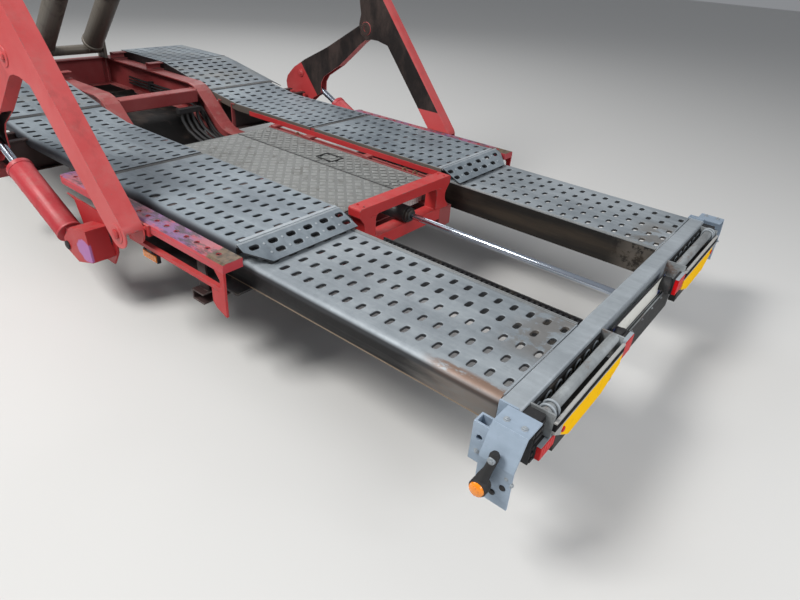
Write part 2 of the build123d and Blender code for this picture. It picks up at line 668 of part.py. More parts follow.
# Marker lamps on rubber arms outside the end brackets
with BuildPart() as markers:
    x, y, z = BEAM_REAR, EXT_OUT + 152, MARKER_Z
    for name, side in SIDES:
        block(x - 18, x + 18, side * y, side * (y + 12), z - 75, z + 40)
        block(x - 14, x + 14, side * (y + 10), side * (y + 36), z - 85, z - 30)
        disc(side, y + 18, y + 68, ((x, z - 85),), MARKER_D / 2)
save(markers.part, "marker_lamps")

# Lift linkage
y_in, y_out = LEG_Y - LEG_WIDTH / 2, LEG_Y + LEG_WIDTH / 2
arm_in, arm_out = LEG_Y - ARM_WIDTH / 2, LEG_Y + ARM_WIDTH / 2
for name, side in SIDES:
    half = LEG_DEPTH / 2
    top_eye = turned(*FOOT, LEG_LENGTH, 0, LEG_ANGLE)
    with BuildPart() as leg:
        def ahead(points):
            return [turned(*FOOT, u, v, LEG_ANGLE) for u, v in points]
        panel(side, y_in, y_out, ahead(((0, -half), (LEG_LENGTH, -half), (LEG_LENGTH, half), (0, half))))
        disc(side, y_in, y_out, (FOOT, top_eye), half)
        panel(side, y_in, y_out, ahead(LEG_GUSSET))
        panel(side, y_in + LEG_PLATE, y_out - LEG_PLATE,
              ahead(((-2 * half, LEG_PLATE - half), (LEG_LENGTH + 2 * half, LEG_PLATE - half),
                     (LEG_LENGTH + 2 * half, 4 * half), (-2 * half, 4 * half))), mode=Mode.SUBTRACT)
        disc(side, y_in, y_out, (FOOT, top_eye), PIN_D / 2 + FIT / 2, mode=Mode.SUBTRACT)
        disc(side, y_in - 1, y_out + 4, (HUB,), PIN_D / 2)
    save(leg.part, f"lift_leg_{name}")

    with BuildPart() as arm:
        def above(points):
            return [turned(PIVOT_X, PIVOT_Z, u, v, REST_ANGLE) for u, v in points]
        panel(side, arm_in, arm_out, above(ARM_OUTLINE))
        disc(side, arm_in, arm_out, ((PIVOT_X, PIVOT_Z),), PIVOT_R)
        disc(side, arm_in, arm_out, (HUB,), EYE_R)
        inner, outer = arm_in + ARM_PLATE, arm_out - ARM_PLATE
        panel(side, inner, outer, above(ARM_FORK), mode=Mode.SUBTRACT)
        panel(side, inner, outer, above(ARM_HOLLOW), mode=Mode.SUBTRACT)
        disc(side, inner, outer, ((PIVOT_X, PIVOT_Z),), PIVOT_R + 1, mode=Mode.SUBTRACT)
        disc(side, arm_in, arm_out, ((PIVOT_X, PIVOT_Z), HUB), PIN_D / 2 + FIT / 2, mode=Mode.SUBTRACT)
        disc(side, arm_in - 4, arm_out + 4, (ELBOW,), ELBOW_PIN_D / 2)
    save(arm.part, f"lift_arm_{name}")

    with BuildPart() as shoe:
        x0, x1, low = FOOT[0] - 90, FOOT[0] + 90, SIDE_TOP - SIDE_HEIGHT - SEAT
        block(x0, x1, side * (SIDE_OUT + SEAT), side * (SIDE_OUT + 11), low - 12, SIDE_TOP - 2)
        block(x0, x1, side * (SIDE_OUT - 16), side * (SIDE_OUT + 11), low - 12, low)
        disc(side, SIDE_OUT + 11, y_out + 8, (FOOT,), PIN_D / 2)
    save(shoe.part, f"foot_shoe_{name}")

    # Side cylinder: barrel, then rod
    dx, dz = ELBOW[0] - CYL_X, ELBOW[1] - CYL_Z
    reach = (dx * dx + dz * dz) ** 0.5
    mouth = CYL_SHARE * reach
    axis = Plane(origin=(CYL_X, side * LEG_Y, CYL_Z), x_dir=(0, 1, 0), z_dir=(dx, 0, dz))
    with BuildPart() as side_barrel:
        with BuildSketch(axis.offset(CYL_HEAD)):
            Circle(CYL_D / 2)
        extrude(amount=mouth - CYL_HEAD)
        with BuildSketch(axis):
            Rectangle(CYL_LUG, 2 * CYL_LUG_R)
        extrude(amount=CYL_HEAD)
        with BuildSketch(axis.offset(CYL_HEAD + CYL_END)):
            Circle(CYL_ROD_D / 2 + FIT / 2)
        extrude(amount=mouth - CYL_HEAD - CYL_END, mode=Mode.SUBTRACT)
        disc(side, LEG_Y - CYL_LUG / 2, LEG_Y + CYL_LUG / 2, ((CYL_X, CYL_Z),), CYL_LUG_R)
        disc(side, LEG_Y - CYL_LUG / 2, LEG_Y + CYL_LUG / 2, ((CYL_X, CYL_Z),), PIN_D / 2 + FIT / 2,
             mode=Mode.SUBTRACT)
    save(side_barrel.part, f"lift_barrel_{name}")

    with BuildPart() as side_rod:
        with BuildSketch(axis.offset(CYL_ROD_HELD)):
            Circle(CYL_ROD_D / 2)
        extrude(amount=reach - CYL_ROD_HELD - ROD_EYE_R)
        disc(side, LEG_Y - ROD_EYE / 2, LEG_Y + ROD_EYE / 2, (ELBOW,), ROD_EYE_R)
        with BuildSketch(axis.offset(reach - 2 * ROD_EYE_R)):
            Rectangle(ROD_EYE, CYL_ROD_D)
        extrude(amount=2 * ROD_EYE_R)
        disc(side, LEG_Y - CYL_ROD_D / 2, LEG_Y + CYL_ROD_D / 2, (ELBOW,), ROD_EYE_BORE / 2,
             mode=Mode.SUBTRACT)
    save(side_rod.part, f"lift_rod_{name}")

# Brackets of the arms: a base plate and a lug between the arm's plates
with BuildPart() as pivots:
    base = PIVOT_Z - 90
    lug = ARM_WIDTH / 2 - ARM_PLATE - LOOSE
    for name, side in SIDES:
        block(PIVOT_X - 90, PIVOT_X + 90, side * SIDE_OUT, side * y_out, base - 2 * WALL, base)
        for x in (PIVOT_X - 90, PIVOT_X + 90 - WALL):
            block(x, x + WALL, side * SIDE_OUT, side * (y_out - 10), LOW_TOP - RAIL_WALL, base - 2 * WALL)
        panel(side, LEG_Y - lug, LEG_Y + lug,
              [(PIVOT_X + x, z) for x, z in ((-60, base), (-45, PIVOT_Z), (45, PIVOT_Z), (60, base))])
        disc(side, LEG_Y - lug, LEG_Y + lug, ((PIVOT_X, PIVOT_Z),), 45)
        disc(side, arm_in - 4, arm_out + 4, ((PIVOT_X, PIVOT_Z),), PIN_D / 2)
save(pivots.part, "arm_brackets")

# Brackets of the side cylinders: gusset, outer plate and a bent cover between them
with BuildPart() as hoods:
    for name, side in SIDES:
        for inner, outer, outline in ((GUSSET_IN, GUSSET_IN + 10, GUSSET),
                                      (GUSSET_IN + 10, HOOD_OUT - 10, HOOD_COVER),
                                      (HOOD_OUT - 10, HOOD_OUT, HOOD)):
            panel(side, inner, outer, [(CYL_X + x, z) for x, z in outline])
        disc(side, GUSSET_IN + 10, HOOD_OUT + 4, ((CYL_X, CYL_Z),), PIN_D / 2)
save(hoods.part, "cylinder_brackets")

# Centre props: tubes on a common shaft, with sleeves that slide on them
direction = (cos(radians(PROP_ANGLE)), 0, sin(radians(PROP_ANGLE)))
with BuildPart() as prop_tubes:
    for name, side in SIDES:
        foot = Plane(origin=(PROP_X, side * PROP_Y, PROP_Z), x_dir=(0, 1, 0), z_dir=direction)
        with BuildSketch(foot.offset(PROP_FOOT)):
            Circle(PROP_D / 2)
        extrude(amount=PROP_LENGTH - PROP_FOOT)
        with BuildSketch(foot):
            Rectangle(60, SHAFT_D)
        extrude(amount=PROP_FOOT)
    half = RAIL_IN - EAR - SEAT
    disc(1, half, -half, ((PROP_X, PROP_Z),), SHAFT_D / 2)
    disc(1, RAIL_IN - 1, 1 - RAIL_IN, ((PROP_X, PROP_Z),), PIN_D / 2)
save(prop_tubes.part, "prop_tubes")

with BuildPart() as prop_sleeves:
    for name, side in SIDES:
        foot = Plane(origin=(PROP_X, side * PROP_Y, PROP_Z), x_dir=(0, 1, 0), z_dir=direction)
        with BuildSketch(foot.offset(SLEEVE_START)):
            Circle(SLEEVE_D / 2)
            Circle(PROP_D / 2 + SEAT, mode=Mode.SUBTRACT)
        extrude(amount=SLEEVE_END - SLEEVE_START)
save(prop_sleeves.part, "prop_sleeves")

with BuildPart() as prop_ears:
    for name, side in SIDES:
        x, y = PROP_X, RAIL_IN - EAR
        block(x - EAR_HALF, x + EAR_HALF, side * y, side * RAIL_IN, RAIL_TOP, EAR_TOP)
        disc(side, RAIL_IN - EAR, RAIL_IN, ((PROP_X, PROP_Z),), PIN_D / 2 + FIT / 2, mode=Mode.SUBTRACT)
save(prop_ears.part, "prop_ears")
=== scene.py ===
"""Looks of the rear loading deck of a car carrier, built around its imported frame. All sizes in metres."""
import math

import bmesh
import bpy
from mathutils import Matrix, Quaternion, Vector


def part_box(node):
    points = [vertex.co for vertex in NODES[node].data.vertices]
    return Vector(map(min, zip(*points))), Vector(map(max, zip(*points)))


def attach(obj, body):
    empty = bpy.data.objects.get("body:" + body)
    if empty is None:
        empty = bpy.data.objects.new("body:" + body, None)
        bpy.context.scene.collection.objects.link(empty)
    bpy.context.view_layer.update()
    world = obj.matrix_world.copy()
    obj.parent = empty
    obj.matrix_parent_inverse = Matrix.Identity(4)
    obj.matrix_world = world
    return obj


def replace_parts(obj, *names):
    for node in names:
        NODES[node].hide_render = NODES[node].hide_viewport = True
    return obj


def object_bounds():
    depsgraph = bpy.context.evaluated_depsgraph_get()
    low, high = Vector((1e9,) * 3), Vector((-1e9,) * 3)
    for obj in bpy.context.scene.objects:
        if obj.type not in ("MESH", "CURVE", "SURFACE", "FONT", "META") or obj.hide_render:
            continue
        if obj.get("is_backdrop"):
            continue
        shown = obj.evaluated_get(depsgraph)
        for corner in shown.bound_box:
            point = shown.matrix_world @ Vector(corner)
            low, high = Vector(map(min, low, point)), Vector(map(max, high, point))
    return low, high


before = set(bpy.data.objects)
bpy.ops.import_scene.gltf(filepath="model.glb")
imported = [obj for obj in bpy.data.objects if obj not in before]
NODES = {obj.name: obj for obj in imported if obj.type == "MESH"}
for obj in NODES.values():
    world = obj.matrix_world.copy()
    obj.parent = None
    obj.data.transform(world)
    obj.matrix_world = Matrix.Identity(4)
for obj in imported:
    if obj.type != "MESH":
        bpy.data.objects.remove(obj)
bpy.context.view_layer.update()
SIDES = (("left", -1), ("right", 1))
scene = bpy.context.scene

# Camera, at the photograph's place and angle
EYE = (5.495, -2.329, 1.102)
AZIMUTH, ELEVATION, ROLL = 36.816, 31.487, 4.339
LENS = 26.0
FLOOR = -0.62


def back_of(azimuth, elevation):
    """The unit vector from what the camera looks at back to the camera."""
    a, e = math.radians(azimuth), math.radians(elevation)
    return Vector((math.sin(a) * math.cos(e), -math.cos(a) * math.cos(e), math.sin(e)))


camera = bpy.data.objects.new("camera", bpy.data.cameras.new("camera"))
camera.data.lens = LENS
camera.data.clip_start = 0.05
camera.location = EYE
camera.rotation_mode = "QUATERNION"
roll = Quaternion((0, 0, 1), math.radians(ROLL))
camera.rotation_quaternion = back_of(AZIMUTH, ELEVATION).to_track_quat("Z", "Y") @ roll
scene.collection.objects.link(camera)
scene.camera = camera
scene.view_settings.view_transform = "Standard"


# Materials
class Shader:
    """One node material. Its methods add nodes and return their output sockets."""

    def __init__(self, name, **fixed):
        self.material = bpy.data.materials.new(name)
        self.material.use_nodes = True
        self.tree = self.material.node_tree
        self.surface = self.tree.nodes["Principled BSDF"]
        for key, value in fixed.items():
            self.surface.inputs[key.replace("_", " ").title().replace("Ior", "IOR")].default_value = value
        self.place = self.node("TexCoord", {}).outputs["Object"]

    def feed(self, socket, value):
        """Links a socket to another one, or sets its value."""
        if isinstance(value, bpy.types.NodeSocket):
            self.tree.links.new(value, socket)
        else:
            socket.default_value = value

    def node(self, kind, inputs, **options):
        made = self.tree.nodes.new("ShaderNode" + kind)
        for key, value in options.items():
            setattr(made, key, value)
        for key, value in inputs.items():
            self.feed(made.inputs[key], value)
        return made

    def noise(self, scale, detail=4.0, stretch=(1, 1, 1), rough=0.6, shift=0.0):
        """Noise from 0 to 1. A stretch below 1 draws it out along that axis."""
        moves = {"Vector": self.place, "Scale": stretch, "Location": (shift, shift, shift)}
        place = self.node("Mapping", moves).outputs[0]
        inputs = {"Vector": place, "Scale": scale, "Detail": detail, "Roughness": rough}
        return self.node("TexNoise", inputs).outputs["Fac"]

    def patch(self, low, high, *noise, **more):
        """Noise that is 0 below one level and 1 above another. The levels come before the noise's numbers."""
        return self.band(self.noise(*noise, **more), low, high)

    def cells(self, scale):
        """A random level from 0 to 1 in each cell."""
        colour = self.node("TexVoronoi", {"Vector": self.place, "Scale": scale}).outputs["Color"]
        return self.node("SeparateColor", {0: colour}).outputs[0]

    def band(self, value, low, high):
        """0 below low, 1 above high; the other way round if low is more than high."""
        if low > high:
            return self.less(self.band(value, high, low))
        inputs = {"Value": value, "From Min": low, "From Max": high}
        return self.node("MapRange", inputs, interpolation_type="SMOOTHSTEP").outputs["Result"]

    def zone(self, value, low, high, soft):
        """1 between two levels, 0 outside."""
        above = self.band(value, low - soft, low + soft)
        return self.times(above, self.band(value, high + soft, high - soft))

    def span(self, value, low, high):
        """A roughness from low to high by a value from 0 to 1."""
        return self.node("MapRange", {"Value": value, "To Min": low, "To Max": high}).outputs["Result"]

    def calc(self, kind, a, b=0.0):
        return self.node("Math", {0: a, 1: b}, operation=kind).outputs[0]

    def plus(self, a, b):
        return self.calc("ADD", a, b)

    def less(self, value):
        return self.calc("SUBTRACT", 1.0, value)

    def most(self, a, b):
        return self.calc("MAXIMUM", a, b)

    def times(self, *values):
        total = values[0]
        for value in values[1:]:
            total = self.calc("MULTIPLY", total, value)
        return total

    def blend(self, under, over, *shares):
        """The first colour where the product of the shares is 0, and the second one where it is 1."""
        made = self.node("Mix", {0: self.times(*shares)}, data_type="RGBA")
        for spot, colour in ((6, under), (7, over)):
            self.feed(made.inputs[spot], (*colour, 1) if isinstance(colour, tuple) else colour)
        return made.outputs[2]

    def axis(self, name):
        """The place along X, Y or Z."""
        return self.node("SeparateXYZ", {"Vector": self.place}).outputs[name]

    def width(self):
        """The distance from the middle plane."""
        return self.calc("ABSOLUTE", self.axis("Y"))

    def facing(self, name):
        """How far the surface faces along X, Y or Z, from -1 to 1."""
        normal = self.node("NewGeometry", {}).outputs["Normal"]
        return self.node("SeparateXYZ", {"Vector": normal}).outputs[name]

    def upright(self):
        """1 on faces that look to the side, 0 on others."""
        return self.band(self.calc("ABSOLUTE", self.facing("Y")), 0.8, 0.95)

    def edges(self, radius):
        """1 on edges, 0 on flat faces."""
        round_normal = self.node("Bevel", {"Radius": radius}, samples=4).outputs["Normal"]
        flat = self.node("NewGeometry", {}).outputs["Normal"]
        dot = self.node("VectorMath", {0: round_normal, 1: flat}, operation="DOT_PRODUCT").outputs["Value"]
        return self.band(self.less(dot), 0.0008, 0.02)

    def finish(self, colour, rough, relief, depth, strength):
        """Joins colour, roughness and relief to the surface, and returns the material."""
        bump = self.node("Bump", {"Height": relief, "Strength": strength, "Distance": depth})
        for key, value in (("Base Color", colour), ("Roughness", rough), ("Normal", bump.outputs["Normal"])):
            self.feed(self.surface.inputs[key], value)
        return self.material


# Colours of painted shade and of the main surfaces
SHADE = (0.024, 0.019, 0.018)
SLOT_SHADE = (0.022, 0.023, 0.026)
DECK_ZINC = ((0.285, 0.33, 0.365), (0.13, 0.158, 0.185))
TRACK_ZINC = ((0.37, 0.41, 0.44), (0.19, 0.218, 0.242))
FRAME_RED = ((0.235, 0.032, 0.034), (0.32, 0.082, 0.08))


def galvanised(name, light, dark, dirt, marks=None, shade_steep=False):
    """Weathered zinc: cloudy grey with spangle, scratches along the vehicle, brown dirt and water marks. Its
    last
    argument paints shade on steep faces: the walls of its slots and its bends down."""
    s = Shader(name, metallic=0.3)
    cloud = s.patch(0.34, 0.66, 2.6, 6, (0.6, 1, 1))
    streak = s.patch(0.35, 0.75, 30, 3, (0.05, 1, 1), shift=3)
    tone = s.plus(s.times(cloud, 0.62), s.times(s.cells(55), 0.13))
    colour = s.blend(dark, light, s.plus(tone, s.times(streak, 0.25)))
    stain = s.patch(0.72 - 0.16 * dirt, 0.86 - 0.16 * dirt, 5.5, 8, (0.5, 1, 1), 0.68, 11)
    colour = s.blend(colour, (0.15, 0.12, 0.095), stain, 0.7)
    fine = s.patch(0.62, 0.8, 60, 6, (0.3, 1, 1), 0.7, 5)
    colour = s.blend(colour, (0.12, 0.11, 0.1), fine, 0.5)
    if shade_steep:
        # Painted shade: steep faces, such as the walls of the slots, go near black
        colour = s.blend(colour, SLOT_SHADE, s.band(s.facing("Z"), 0.72, 0.35), 0.95)
    if marks is not None:
        colour = marks(s, colour)
    relief = s.plus(s.times(s.noise(140, 3), 0.35), s.times(s.noise(12, 5, (0.4, 1, 1)), 0.65))
    return s.finish(colour, s.span(s.noise(18, 5), 0.42, 0.7), relief, 0.0012, 0.5)


def deck_marks(s, colour):
    """Dark outer round, and a brown flange at the inner edge."""
    wide = s.width()
    colour = s.blend(colour, (0.04, 0.046, 0.056), s.band(wide, 1.018, 1.038), 0.9)
    return s.blend(colour, (0.115, 0.1, 0.085), s.band(wide, 0.4365, 0.4335), 0.85)


def hump_marks(s, colour):
    """Bands of road dust on the slopes."""
    dust = s.patch(0.45, 0.7, 4, 7, (1, 0.5, 1), 0.7, 21)
    return s.blend(colour, (0.27, 0.25, 0.21), dust, 0.45)


def track_marks(s, colour):
    """Black grease and painted shade on the outer side with a dusty rear end, a brown inner side, rust and
    wear at the beam.
    """
    x, z, wide = s.axis("X"), s.axis("Z"), s.width()
    # The outer side's near black is partly grease and partly painted shade
    ragged = s.plus(z, s.times(s.noise(7, 6, (0.18, 1, 1), 0.6, 7), 0.03))
    side = s.times(s.band(ragged, -0.083, -0.097), s.band(wide, 1.004, 1.016))
    rub = s.patch(0.5, 0.72, 26, 6, (0.02, 1, 1), 0.62, 2)
    grease = s.blend((0.006, 0.006, 0.007), (0.045, 0.044, 0.043), rub)
    dusty = s.band(s.plus(x, s.times(s.noise(6, 6, (0.5, 1, 2), 0.65, 9), 0.4)), 4.72, 5.04)
    grease = s.blend(grease, (0.17, 0.16, 0.15), dusty)
    grease = s.blend(grease, (0.25, 0.19, 0.13), s.band(z, -0.1715, -0.1745))
    colour = s.blend(colour, grease, side)
    inner = s.times(s.band(wide, 0.4545, 0.4515), s.band(z, -0.074, -0.08))
    rub = s.patch(0.4, 0.7, 9, 6, (0.1, 1, 1), 0.65, 4)
    colour = s.blend(colour, s.blend((0.008, 0.007, 0.006), (0.038, 0.028, 0.019), rub), inner)
    worn = s.times(s.band(x, 4.7, 4.84), s.band(wide, 0.85, 0.7))
    worn = s.times(worn, s.patch(0.42, 0.5, 11, 7, rough=0.7, shift=13))
    colour = s.blend(colour, (0.15, 0.13, 0.11), worn, 0.6)
    left = s.band(s.axis("Y"), 0.0, -0.1)
    rust = s.times(s.band(x, 4.6, 4.72), s.zone(wide, 0.982, 1.024, 0.012), left)
    rust = s.times(rust, s.patch(0.42, 0.52, 16, 7, (0.35, 1, 1), 0.7, 31))
    return s.blend(colour, (0.2, 0.1, 0.05), rust, 0.8)


def beam_marks(s, colour):
    """Grime and rust on the round bars."""
    grime = s.patch(0.44, 0.62, 7, 7, (1, 0.3, 1), 0.68, 27)
    colour = s.blend(colour, (0.12, 0.12, 0.12), grime, 0.55)
    rust = s.patch(0.54, 0.66, 9, 8, (1, 0.4, 1), 0.72, 17)
    return s.blend(colour, (0.17, 0.085, 0.05), rust, 0.7)


def paint(name, deep, faded, dirt=1.0, marks=None, wear=0.5, bare=(0.16, 0.13, 0.12), dust=(0.3, 0.2, 0.18)):
    """Old enamel: faded on top, chipped to primer and rust at edges, with road dust."""
    s = Shader(name, specular_ior_level=0.35)
    cloud = s.patch(0.35, 0.68, 2.2, 6)
    top = s.band(s.facing("Z"), 0.25, 0.9)
    fade = s.most(s.times(cloud, 0.55), s.times(top, s.patch(0.3, 0.6, 5, 6, shift=2)))
    colour = s.blend(deep, faded, fade)
    film = s.times(top, s.patch(0.46, 0.74, 14, 7, rough=0.7, shift=6))
    colour = s.blend(colour, dust, film, 0.5 * dirt)
    grime = s.patch(0.56, 0.76, 6, 8, (1, 1, 0.6), 0.7, 23)
    colour = s.blend(colour, (0.075, 0.04, 0.036), grime, 0.5 * dirt)
    if marks is not None:
        colour = marks(s, colour)
    rub = s.patch(0.48, 0.6, 38, 6, (0.5, 1, 1), 0.66, 4)
    chips = s.times(s.edges(0.005), rub, wear * 1.4)
    specks = s.patch(0.74 - 0.04 * wear, 0.78 - 0.04 * wear, 75, 4, rough=0.6, shift=9)
    colour = s.blend(colour, bare, s.calc("MINIMUM", s.most(chips, specks), 1.0))
    rough = s.span(s.most(s.noise(9, 5), s.times(film, 0.9)), 0.3, 0.62)
    relief = s.plus(s.times(s.noise(55, 4), 0.5), s.times(s.less(specks), 0.5))
    return s.finish(colour, rough, relief, 0.0007, 0.45)


def soot(s, seed):
    """Brown-black of an unwashed inner face."""
    patch = s.patch(0.4, 0.68, 7, 6, (1, 1, 0.5), 0.65, seed)
    return s.blend((0.012, 0.009, 0.0085), (0.046, 0.032, 0.028), patch)


def leg_marks(s, colour):
    """The inner face is dark from a level line upwards."""
    inside = s.band(s.width(), 1.19, 1.1845)
    return s.blend(colour, soot(s, 3), inside, s.band(s.axis("Z"), 0.088, 0.094), s.upright())


def arm_marks(s, colour):
    """The inner face is dark beyond the pivot."""
    reach = s.plus(s.times(s.axis("X"), 0.7705), s.times(s.axis("Z"), 0.6374))
    inside = s.band(s.width(), 1.203, 1.198)
    return s.blend(colour, soot(s, 5), inside, s.band(reach, 1.4, 1.406), s.upright())


def painted_under_shade(s, colour):
    """Painted shade beneath the plates."""
    return s.blend(colour, SHADE, s.band(s.width(), 0.442, 0.462), 0.95)


def painted_tail_shade(s, colour):
    """Painted shade beneath the hatch and the decks."""
    mask = s.times(s.zone(s.axis("X"), 1.95, 3.6, 0.15), s.band(s.axis("Z"), -0.1, -0.14))
    return s.blend(colour, SHADE, mask, 0.95)


def hood_marks(s, colour):
    """A violet scuff on the left hood."""
    x = s.times(s.calc("SUBTRACT", s.axis("X"), 2.755), 1 / 0.085)
    z = s.times(s.calc("SUBTRACT", s.axis("Z"), -0.28), 1 / 0.062)
    ragged = s.times(s.calc("SUBTRACT", s.noise(22, 5, shift=8), 0.5), 1.3)
    ragged = s.plus(s.plus(s.times(x, x), s.times(z, z)), ragged)
    mask = s.times(s.band(ragged, 1.05, 0.7), s.band(s.axis("Y"), -1.258, -1.266))
    return s.blend(colour, (0.36, 0.17, 0.44), mask, 0.8)


def rail_marks(s, colour):
    """Worn violet top with pink as a painted highlight, dark wear, and a brown rear end."""
    top = s.band(s.facing("Z"), 0.75, 0.95)
    # Violet worn paint mixed with pink, which is a painted highlight
    paint_and_highlight = s.blend((0.36, 0.115, 0.14), (0.2, 0.105, 0.23), s.patch(0.42, 0.58, 9, 6, (0.35, 1, 1), 0.65, 2))
    colour = s.blend(colour, paint_and_highlight, top, s.patch(0.36, 0.5, 13, 6, (0.4, 1, 1), 0.7, 12))
    black = s.times(top, s.patch(0.47, 0.58, 24, 7, (0.4, 1, 1), 0.72, 19))
    colour = s.blend(colour, (0.06, 0.046, 0.048), black, 0.8)
    end = s.plus(s.axis("X"), s.times(s.noise(14, 6, shift=7), 0.07))
    brown = s.blend((0.15, 0.1, 0.06), (0.07, 0.05, 0.035), s.patch(0.4, 0.65, 40, 6, shift=1))
    return s.blend(colour, brown, s.band(end, 3.64, 3.652), s.band(s.facing("Z"), 0.3, 0.6))


def board_marks(s, colour):
    """A black top with a light line under it, and a light grey outer end with flaked edges."""
    rise = s.plus(s.axis("Z"), s.times(s.noise(25, 6, shift=3), 0.006))
    grey = s.most(s.band(rise, -0.1475, -0.1465), s.band(s.width(), 0.906, 0.908))
    grey = s.most(grey, s.times(s.edges(0.006), s.patch(0.45, 0.55, 30, 5, shift=8)))
    colour = s.blend(colour, (0.36, 0.36, 0.35), grey)
    return s.blend(colour, (0.012, 0.012, 0.013), s.zone(rise, -0.1385, -0.11, 0.0005))


def plate_marks(s, colour):
    """Blue strips at both ends, a dark edge and dark holders."""
    wide, z = s.width(), s.axis("Z")
    colour = s.blend(colour, (0.015, 0.05, 0.33), s.zone(wide, 0.284, 0.32, 0.0008))
    edge = s.most(s.band(z, -0.1105, -0.1095), s.band(z, -0.2115, -0.2125))
    edge = s.most(s.band(wide, 0.3245, 0.3255), edge)
    return s.blend(colour, (0.02, 0.02, 0.022), s.most(edge, s.band(s.axis("X"), 5.0272, 5.0268)))


def plain(name, colour, second, scale, rough, metallic=0.0, share=0.5, stretch=(1, 1, 1), bump=0.3,
          marks=None, **fixed):
    """A surface of one colour, mottled with a second one over a share of it."""
    s = Shader(name, metallic=metallic, **fixed)
    mixed = s.blend(colour, second, s.patch(0.66 - 0.3 * share, 0.86 - 0.3 * share, scale, 6, stretch, 0.65))
    if marks is not None:
        mixed = marks(s, mixed)
    gloss = s.span(s.noise(scale * 2.5, 5, stretch), *rough)
    return s.finish(mixed, gloss, s.noise(scale * 9, 4), 0.0008, bump)


MATERIALS = {
    "deck": galvanised("deck_zinc", *DECK_ZINC, 0.45, deck_marks, True),
    "hump": galvanised("hump_zinc", *DECK_ZINC, 0.6, hump_marks, True),
    "flap": galvanised("flap_zinc", *DECK_ZINC, 0.5, shade_steep=True),
    "track": galvanised("track_zinc", *TRACK_ZINC, 0.55, track_marks, True),
    "zinc": galvanised("bright_zinc", (0.43, 0.475, 0.51), (0.27, 0.3, 0.325), 0.35),
    "bracket": galvanised("bracket_zinc", (0.4, 0.49, 0.6), (0.27, 0.34, 0.42), 0.2),
    "lip": galvanised("lip_zinc", (0.36, 0.375, 0.38), (0.2, 0.21, 0.215), 0.6),
    "bar": galvanised("bar_zinc", (0.42, 0.45, 0.46), (0.24, 0.26, 0.27), 0.5, beam_marks),
    "red": paint("frame_red", *FRAME_RED),
    "rail": paint("rail_red", *FRAME_RED, marks=painted_tail_shade),
    "under": paint("under_red", *FRAME_RED, marks=painted_under_shade),
    "portal": paint("portal_red", (0.42, 0.018, 0.02), (0.48, 0.045, 0.045), 0.75),
    "hood": paint("hood_red", (0.4, 0.02, 0.024), (0.47, 0.055, 0.055), 0.8, hood_marks),
    "cylinder": paint("cylinder_red", (0.4, 0.028, 0.038), (0.47, 0.065, 0.075), 0.7),
    "leg": paint("leg_red", (0.5, 0.06, 0.062), (0.57, 0.11, 0.11), 0.6, leg_marks),
    "arm": paint("arm_red", (0.45, 0.042, 0.044), (0.53, 0.085, 0.085), 0.7, arm_marks),
    "worn": paint("worn_rail", (0.42, 0.035, 0.045), (0.48, 0.1, 0.12), 0.5, rail_marks, 1.0,
                  (0.12, 0.1, 0.1), (0.26, 0.17, 0.17)),
    "black": plain("black_steel", (0.01, 0.01, 0.011), (0.045, 0.038, 0.031), 16, (0.4, 0.65)),
    # Near black: partly a dark underbody, partly painted shade under the neck
    "pan": plain("underbody_shade_pan", (0.0045, 0.004, 0.004), (0.03, 0.021, 0.017), 5, (0.55, 0.8), share=0.45,
                 specular_ior_level=0.15),
    "chain": plain("chain_plastic", (0.014, 0.014, 0.016), (0.05, 0.043, 0.036), 22, (0.45, 0.7)),
    "grease": plain("seam_grease", (0.045, 0.046, 0.048), (0.13, 0.12, 0.11), 14, (0.4, 0.7), 0.1),
    "rust": plain("rusty_hook", (0.17, 0.085, 0.045), (0.32, 0.17, 0.09), 40, (0.6, 0.85)),
    "grey": plain("grey_case", (0.62, 0.63, 0.61), (0.42, 0.41, 0.38), 15, (0.45, 0.7), stretch=(1, 1, 0.3)),
    # The chrome's blue tint is a painted reflection of a blue sky
    "chrome": plain("chrome", (0.6, 0.66, 0.76), (0.48, 0.54, 0.63), 30, (0.14, 0.24), 1.0, 0.4, (0.1, 1, 1),
                    0.02),
    "props": plain("prop_paint", (0.135, 0.12, 0.1), (0.055, 0.048, 0.04), 7, (0.4, 0.65), 0.1, 0.55,
                   (1, 1, 0.5)),
    "rubber": plain("rubber", (0.014, 0.014, 0.015), (0.045, 0.04, 0.036), 25, (0.55, 0.8), share=0.35),
    "tread": plain("chequer_plate", (0.19, 0.198, 0.194), (0.112, 0.11, 0.102), 8, (0.5, 0.72), 0.2, 0.45),
    "bars": plain("chequer_bars", (0.27, 0.28, 0.272), (0.165, 0.165, 0.156), 12, (0.45, 0.65), 0.2),
    "board": plain("yellow_board", (0.95, 0.53, 0.003), (0.78, 0.42, 0.004), 18, (0.7, 0.85), share=0.3,
                   bump=0.1, marks=board_marks, specular_ior_level=0.05),
    "plate": plain("blank_plate", (0.72, 0.72, 0.67), (0.5, 0.48, 0.42), 14, (0.3, 0.45), share=0.35,
                   bump=0.1, marks=plate_marks),
    "amber": plain("amber_lens", (0.9, 0.27, 0.008), (0.72, 0.19, 0.006), 40, (0.08, 0.18), bump=0.05,
                   coat_weight=0.6),
    "lens": plain("red_lens", (0.55, 0.003, 0.006), (0.4, 0.002, 0.004), 40, (0.3, 0.4), bump=0.05,
                  specular_ior_level=0.2),
}

